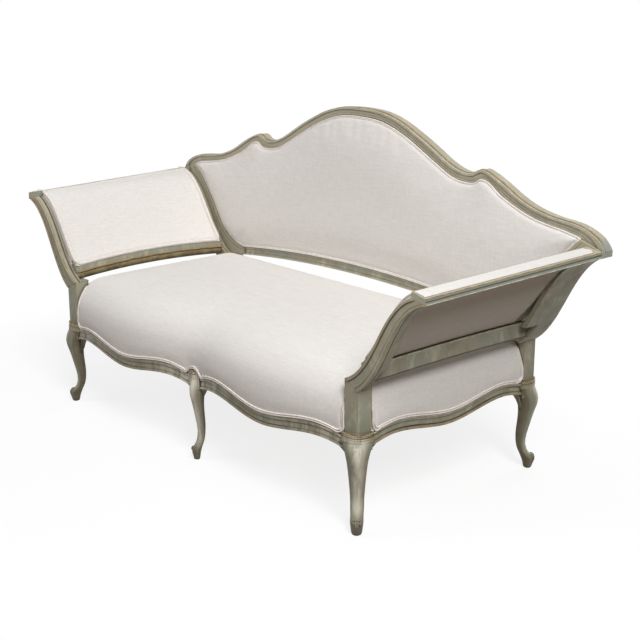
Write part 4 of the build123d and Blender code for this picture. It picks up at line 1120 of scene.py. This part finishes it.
def stood(points, x, y, turn):
    """Leg's own axes turned and moved to where the leg stands."""
    c, s = math.cos(turn), math.sin(turn)
    p = np.asarray(points, float)
    return np.column_stack([x + c * p[:, 0] - s * p[:, 1], y + s * p[:, 0] + c * p[:, 1], p[:, 2]])


LEGS = [
    (side * POST_X, depth * POST_Y, math.atan2(depth, side), 1.0) for side in (1, -1) for depth in (1, -1)
]
LEGS += [(0.0, depth * POST_Y, depth * math.pi / 2, CENTRE_LEG) for depth in (1, -1)]


def arm_line(share, y, count=80):
    inner, outer = arm_curves(y)
    return at_depth(bezier(inner + (outer - inner) * share, np.linspace(0, 1, count)), y)


def upright_line(x, y, low, high):
    return np.array([(x, y, z) for z in np.linspace(low, high, 20)])


def make_lines():
    # umber lines along the steps and edges of the mouldings: umber glaze and painted shadow lines
    gilt, umber, pale = [], [], []

    def both(store, path, radius):
        for run in (path, mirrored(path)):
            store.append(tube(run, radius, LINE_SIDES))

    # crest and bottom rail of the back
    arches = [smooth([(-x, z) for x, z in p[:0:-1]] + p, 320) for p in (ARCH_OUTER, ARCH_INNER)]
    sides = [smooth(p, 200) for p in (SIDE_OUTER, SIDE_INNER)]
    x = np.linspace(-BOTTOM_HALF, BOTTOM_HALF, 200)
    edges = (BOTTOM_UNDER, BOTTOM_OVER)
    rails = [np.column_stack([x, middle - drop * (x / BOTTOM_HALF) ** 2]) for middle, drop in edges]

    for pair in (arches, sides, rails):
        for store, share, y, radius in (
            (gilt, 0.0, BACK_Y + 11.0, 1.6),
            (umber, 0.0, BACK_Y + 5.5, 1.2),
            (pale, 0.03, BACK_Y - BEAD_PROUD, 1.2),
            (umber, 0.96, BACK_Y - BEAD_PROUD, 1.6),
        ):
            line = at_depth(pair[0] + (pair[1] - pair[0]) * share, y)
            if pair is sides:
                both(store, line, radius)
            else:
                store.append(tube(line, radius, LINE_SIDES))
    # stiles, beside the padding
    stile = smooth(STILE_INNER, 160)
    for store, inset, radius in ((gilt, 5.0, 1.3), (umber, 10.0, 1.4)):
        both(store, at_depth(stile + normals(stile) * inset, BACK_OF_POST), radius)
    # arm fronts and the posts below them
    for store, share, y, radius in (
        (gilt, STUMP_BEAD - 0.03, -FACE_Y - BEAD_PROUD, 1.3),
        (umber, STUMP_BEAD + 0.04, -FACE_Y, 1.5),
        (umber, 1 - STUMP_BEAD - 0.04, -FACE_Y, 1.5),
        (gilt, 1 - STUMP_BEAD + 0.03, -FACE_Y - BEAD_PROUD, 1.3),
        (gilt, 0.0, -FACE_Y + 1.0, 1.3),
        (umber, 0.0, -FACE_Y + 14.0, 1.4),
        (umber, 0.0, STUMP_REAR - 9.0, 1.4),
        (umber, 0.0, UPRIGHT_FRONT + 8.0, 1.4),
        (gilt, 0.0, UPRIGHT_FRONT + 15.0, 1.3),
        (umber, 1.0, -FACE_Y + 13.0, 1.4),
    ):
        both(store, arm_line(share, y), radius)
    both(gilt, upright_line(POST_IN + 0.8, -FACE_Y + 0.4, CAP_TOP, ELBOW_IN), 1.2)
    both(gilt, upright_line(POST_OUT - 0.4, -BACK_OF_POST - 0.8, CAP_TOP, ELBOW_OUT), 1.2)
    # arm rails
    ys = np.linspace(-FACE_Y, BACK_OF_POST, 90)
    tips = np.array([arm_curves(y)[1][3] for y in ys])
    for store, dx, dz, radius in (
        (gilt, -1.0, TOP_T - 0.4, 1.6),
        (umber, 0.2, TOP_T - 7.0, 1.4),
        (pale, 0.1, 2.0, 1.2),
    ):
        both(store, np.column_stack([tips[:, 0] + dx, ys, tips[:, 1] + dz]), radius)
    ys = np.linspace(STUMP_REAR, UPRIGHT_FRONT, 90)
    tops = np.array([lower_edge(y, 0.0) for y in ys]) - (0, 1.0)
    for store, dx, dz, radius in (
        (umber, 1.0, -0.8, 1.4),
        (gilt, 0.0, -0.46 * LOWER_H, 2.2),
        (umber, 0.0, -0.53 * LOWER_H, 1.4),
        # pale line on the lower rail's top outer edge: a painted highlight where the edge catches the light
        (pale, LOWER_W - 0.8, -0.6, 1.7),
        (umber, LOWER_W, -0.95 * LOWER_H, 1.9),
    ):
        both(store, np.column_stack([tops[:, 0] + dx, ys, tops[:, 1] + dz]), radius)
    near, far = np.empty((90, 2, 3)), np.empty((90, 2, 3))
    for k, share in enumerate((0.56, 0.97)):
        height = tops[:, 1] - share * LOWER_H
        near[:, k] = np.column_stack([tops[:, 0] - 0.7, ys, height])
        far[:, k] = np.column_stack([tops[:, 0] + 0.8, ys, height])
    band = both_sides(*closed_pad(near, far))
    # seat rails
    share = np.linspace(0.012, 0.988, 120)
    for store, height, proud, radius in (
        (umber, RAIL_FACE - BEAD - 1.0, -BEAD_PROUD + 0.6, 1.5),
        (umber, BEAD + 1.0, -BEAD_PROUD + 0.6, 1.4),
        (gilt, 1.6, 0.0, 1.5),
        (pale, RAIL_FACE - 1.2, 0.2, 1.2),
    ):
        xs = POST / 2 + BAY * share
        low = scallop_z(share, RAIL_LOW + height)
        both(store, np.column_stack([xs, -FACE_Y - front_bow(xs) - proud, low]), radius)
        ys = -BACK_OF_POST + 2 * BACK_OF_POST * share
        low = scallop_z(share, RAIL_LOW + SIDE_LIFT + height)
        both(store, np.column_stack([np.full(120, POST_OUT + proud), ys, low]), radius)
    # collars over the knees
    for x, y, turn, girth in LEGS:
        for store, height, radius in ((gilt, 281.2, 1.7), (umber, 275.0, 1.6), (gilt, 269.0, 1.2)):
            store.append(tube(stood(leg_ring(height, girth), x, y, turn), radius, LINE_SIDES))
    for name, store, material in (
        ("gilt_lines", gilt, GILT), ("umber_shadow_lines", umber, UMBER_SHADOW), ("pale_lines", pale, PALE),
        ("arm_rail_bands", band, BAND),
    ):
        piece(name, *join(store), material, "painted_frame")


# Brackets and fillets between the frame's members
BRACKET_FOOT, BRACKET_BEND, BRACKET_TIP = np.array([(-9.0, -56.0), (6.0, -3.0), (46.0, 2.0)])
BRACKET_FAR = 22.0  # depth of the bracket behind the rail's face
BRACKET_SET, CENTRE_BRACKET_SET = 20.0, 15.0  # where it starts, from the middle of the leg
ELBOW_RISE = 3.0


def make_brackets():
    """Concave easing between each knee and the lower edge of the rail beside it."""
    blocks = []

    def bracket(start, way, edge, place):
        t = np.linspace(0, 1, 14)[:, None]
        arc = (1 - t) ** 2 * BRACKET_FOOT + 2 * t * (1 - t) * BRACKET_BEND + t ** 2 * BRACKET_TIP
        back = np.column_stack([np.maximum(arc[:, 0] - 8, -17), np.minimum(arc[:, 1] + 16, 7.0)])
        near, far = np.empty((14, 5, 3)), np.empty((14, 5, 3))
        for k, share in enumerate(np.linspace(0, 1, 5)):
            flat = arc + (back - arc) * share
            s = start + way * flat[:, 0]
            sunk = 2.5 + 2.0 * (1 - share) ** 2 + 9.0 * (1 - np.clip(flat[:, 0] / 30, 0, 1)) ** 2
            z = edge(s, 0.0) + np.minimum(flat[:, 1], 8)
            near[:, k], far[:, k] = place(s, sunk, z), place(s, BRACKET_FAR, z)
        verts, faces = closed_pad(near, far)
        for v in (verts, mirrored(verts)):
            blocks.append((v, faces))

    def under_front(x, depth, z):
        return np.column_stack([x, -FACE_Y - front_bow(x) + depth, z])

    def under_side(y, depth, z):
        return np.column_stack([np.full(len(y), POST_OUT) - depth, y, z])

    bracket(POST_X - BRACKET_SET, -1, front_edge, under_front)
    bracket(CENTRE_BRACKET_SET, 1, front_edge, under_front)
    bracket(-POST_Y + BRACKET_SET, 1, side_edge, under_side)
    bracket(POST_Y - BRACKET_SET, -1, side_edge, under_side)
    piece("knee_brackets", *join(blocks), PAINT, "painted_frame")


def make_elbows():
    """Wedge between each front post's sloping top and the arm's lower rail."""
    ys, xs = np.linspace(STUMP_REAR, -BACK_OF_POST, 6), np.linspace(POST_IN, POST_OUT, 8)
    y, x = np.meshgrid(ys, xs, indexing="ij")
    slope = ELBOW_IN + (ELBOW_OUT - ELBOW_IN) * (x - POST_IN) / POST
    under = np.array([lower_edge(depth, 0.0)[1] for depth in ys])[:, None] - LOWER_H
    top = np.minimum(under + 0 * x, slope + ELBOW_RISE + 0.5 * (x - POST_IN))
    verts, faces = closed_pad(np.stack([x, y, top], 2), np.stack([x, y, slope - 0.5], 2))
    verts, faces = join(both_sides(verts, faces))
    piece("elbow_fillets", verts, faces, PAINT, "painted_frame", smooth_shade=False)


# Carved toes
TOE_REACH, TOE_Z, TOE_R, TOE_HALF, TOE_GROOVE = 39.0, 34.0, 8.6, 12, 0.9


def make_toes():
    """Small scroll across each toe, with three dark rings round it for grooves: umber glaze and painted
    shade.
    """
    scrolls, grooves = [], []
    for x, y, turn, girth in LEGS:
        across = np.linspace(-TOE_HALF, TOE_HALF, 9) * girth
        roll = np.column_stack([np.full(9, TOE_REACH * girth), across, np.full(9, TOE_Z)])
        scrolls.append(tube(stood(roll, x, y, turn), TOE_R * girth, 20))
        angle = np.linspace(-1.2, 2.6, 26)
        for offset in (-7.0, 0.0, 7.0):
            out, up = TOE_REACH * girth + TOE_R * girth * np.cos(angle), TOE_Z + TOE_R * girth * np.sin(angle)
            ring = np.column_stack([out, np.full(26, offset * girth), up])
            grooves.append(tube(stood(ring, x, y, turn), TOE_GROOVE, LINE_SIDES))
    piece("toe_scrolls", *join(scrolls), PAINT, "painted_frame")
    # dark rings for the grooves: painted shade with umber glaze
    piece("toe_grooves", *join(grooves), UMBER_SHADOW, "painted_frame")


# Dust cloth below the seat
DUST_X, DUST_Y, DUST_LOW, DUST_TOP, DUST_SAG = 669, 307, 262.8, 263.6, 3.0


def make_dust_cloth():
    nu, nv = 41, 21
    xs, ys = np.linspace(-DUST_X, DUST_X, nu), np.linspace(-DUST_Y, DUST_Y, nv)
    x, y = np.meshgrid(xs, ys, indexing="ij")
    sag = DUST_SAG * np.cos(np.pi * x / (2 * DUST_X)) * np.cos(np.pi * y / (2 * DUST_Y))
    top = np.stack([x, y, DUST_TOP - sag], 2)
    low = np.stack([x, y, DUST_LOW - sag], 2)
    verts, faces = closed_pad(low, top)
    cloth = piece("dust_cloth", verts, faces, CANVAS, "canvas", ("dust_cover",))


make_seat()
make_back()
make_back_cloth()
make_back_cord()
for side in (1, -1):
    for make in (make_arm_pad, make_arm_easing, make_stump_lip, make_arm_cord, make_arm_cloth):
        make(side)
make_seat_cord()
make_dust_cloth()
make_lines()
make_brackets()
make_elbows()
make_toes()
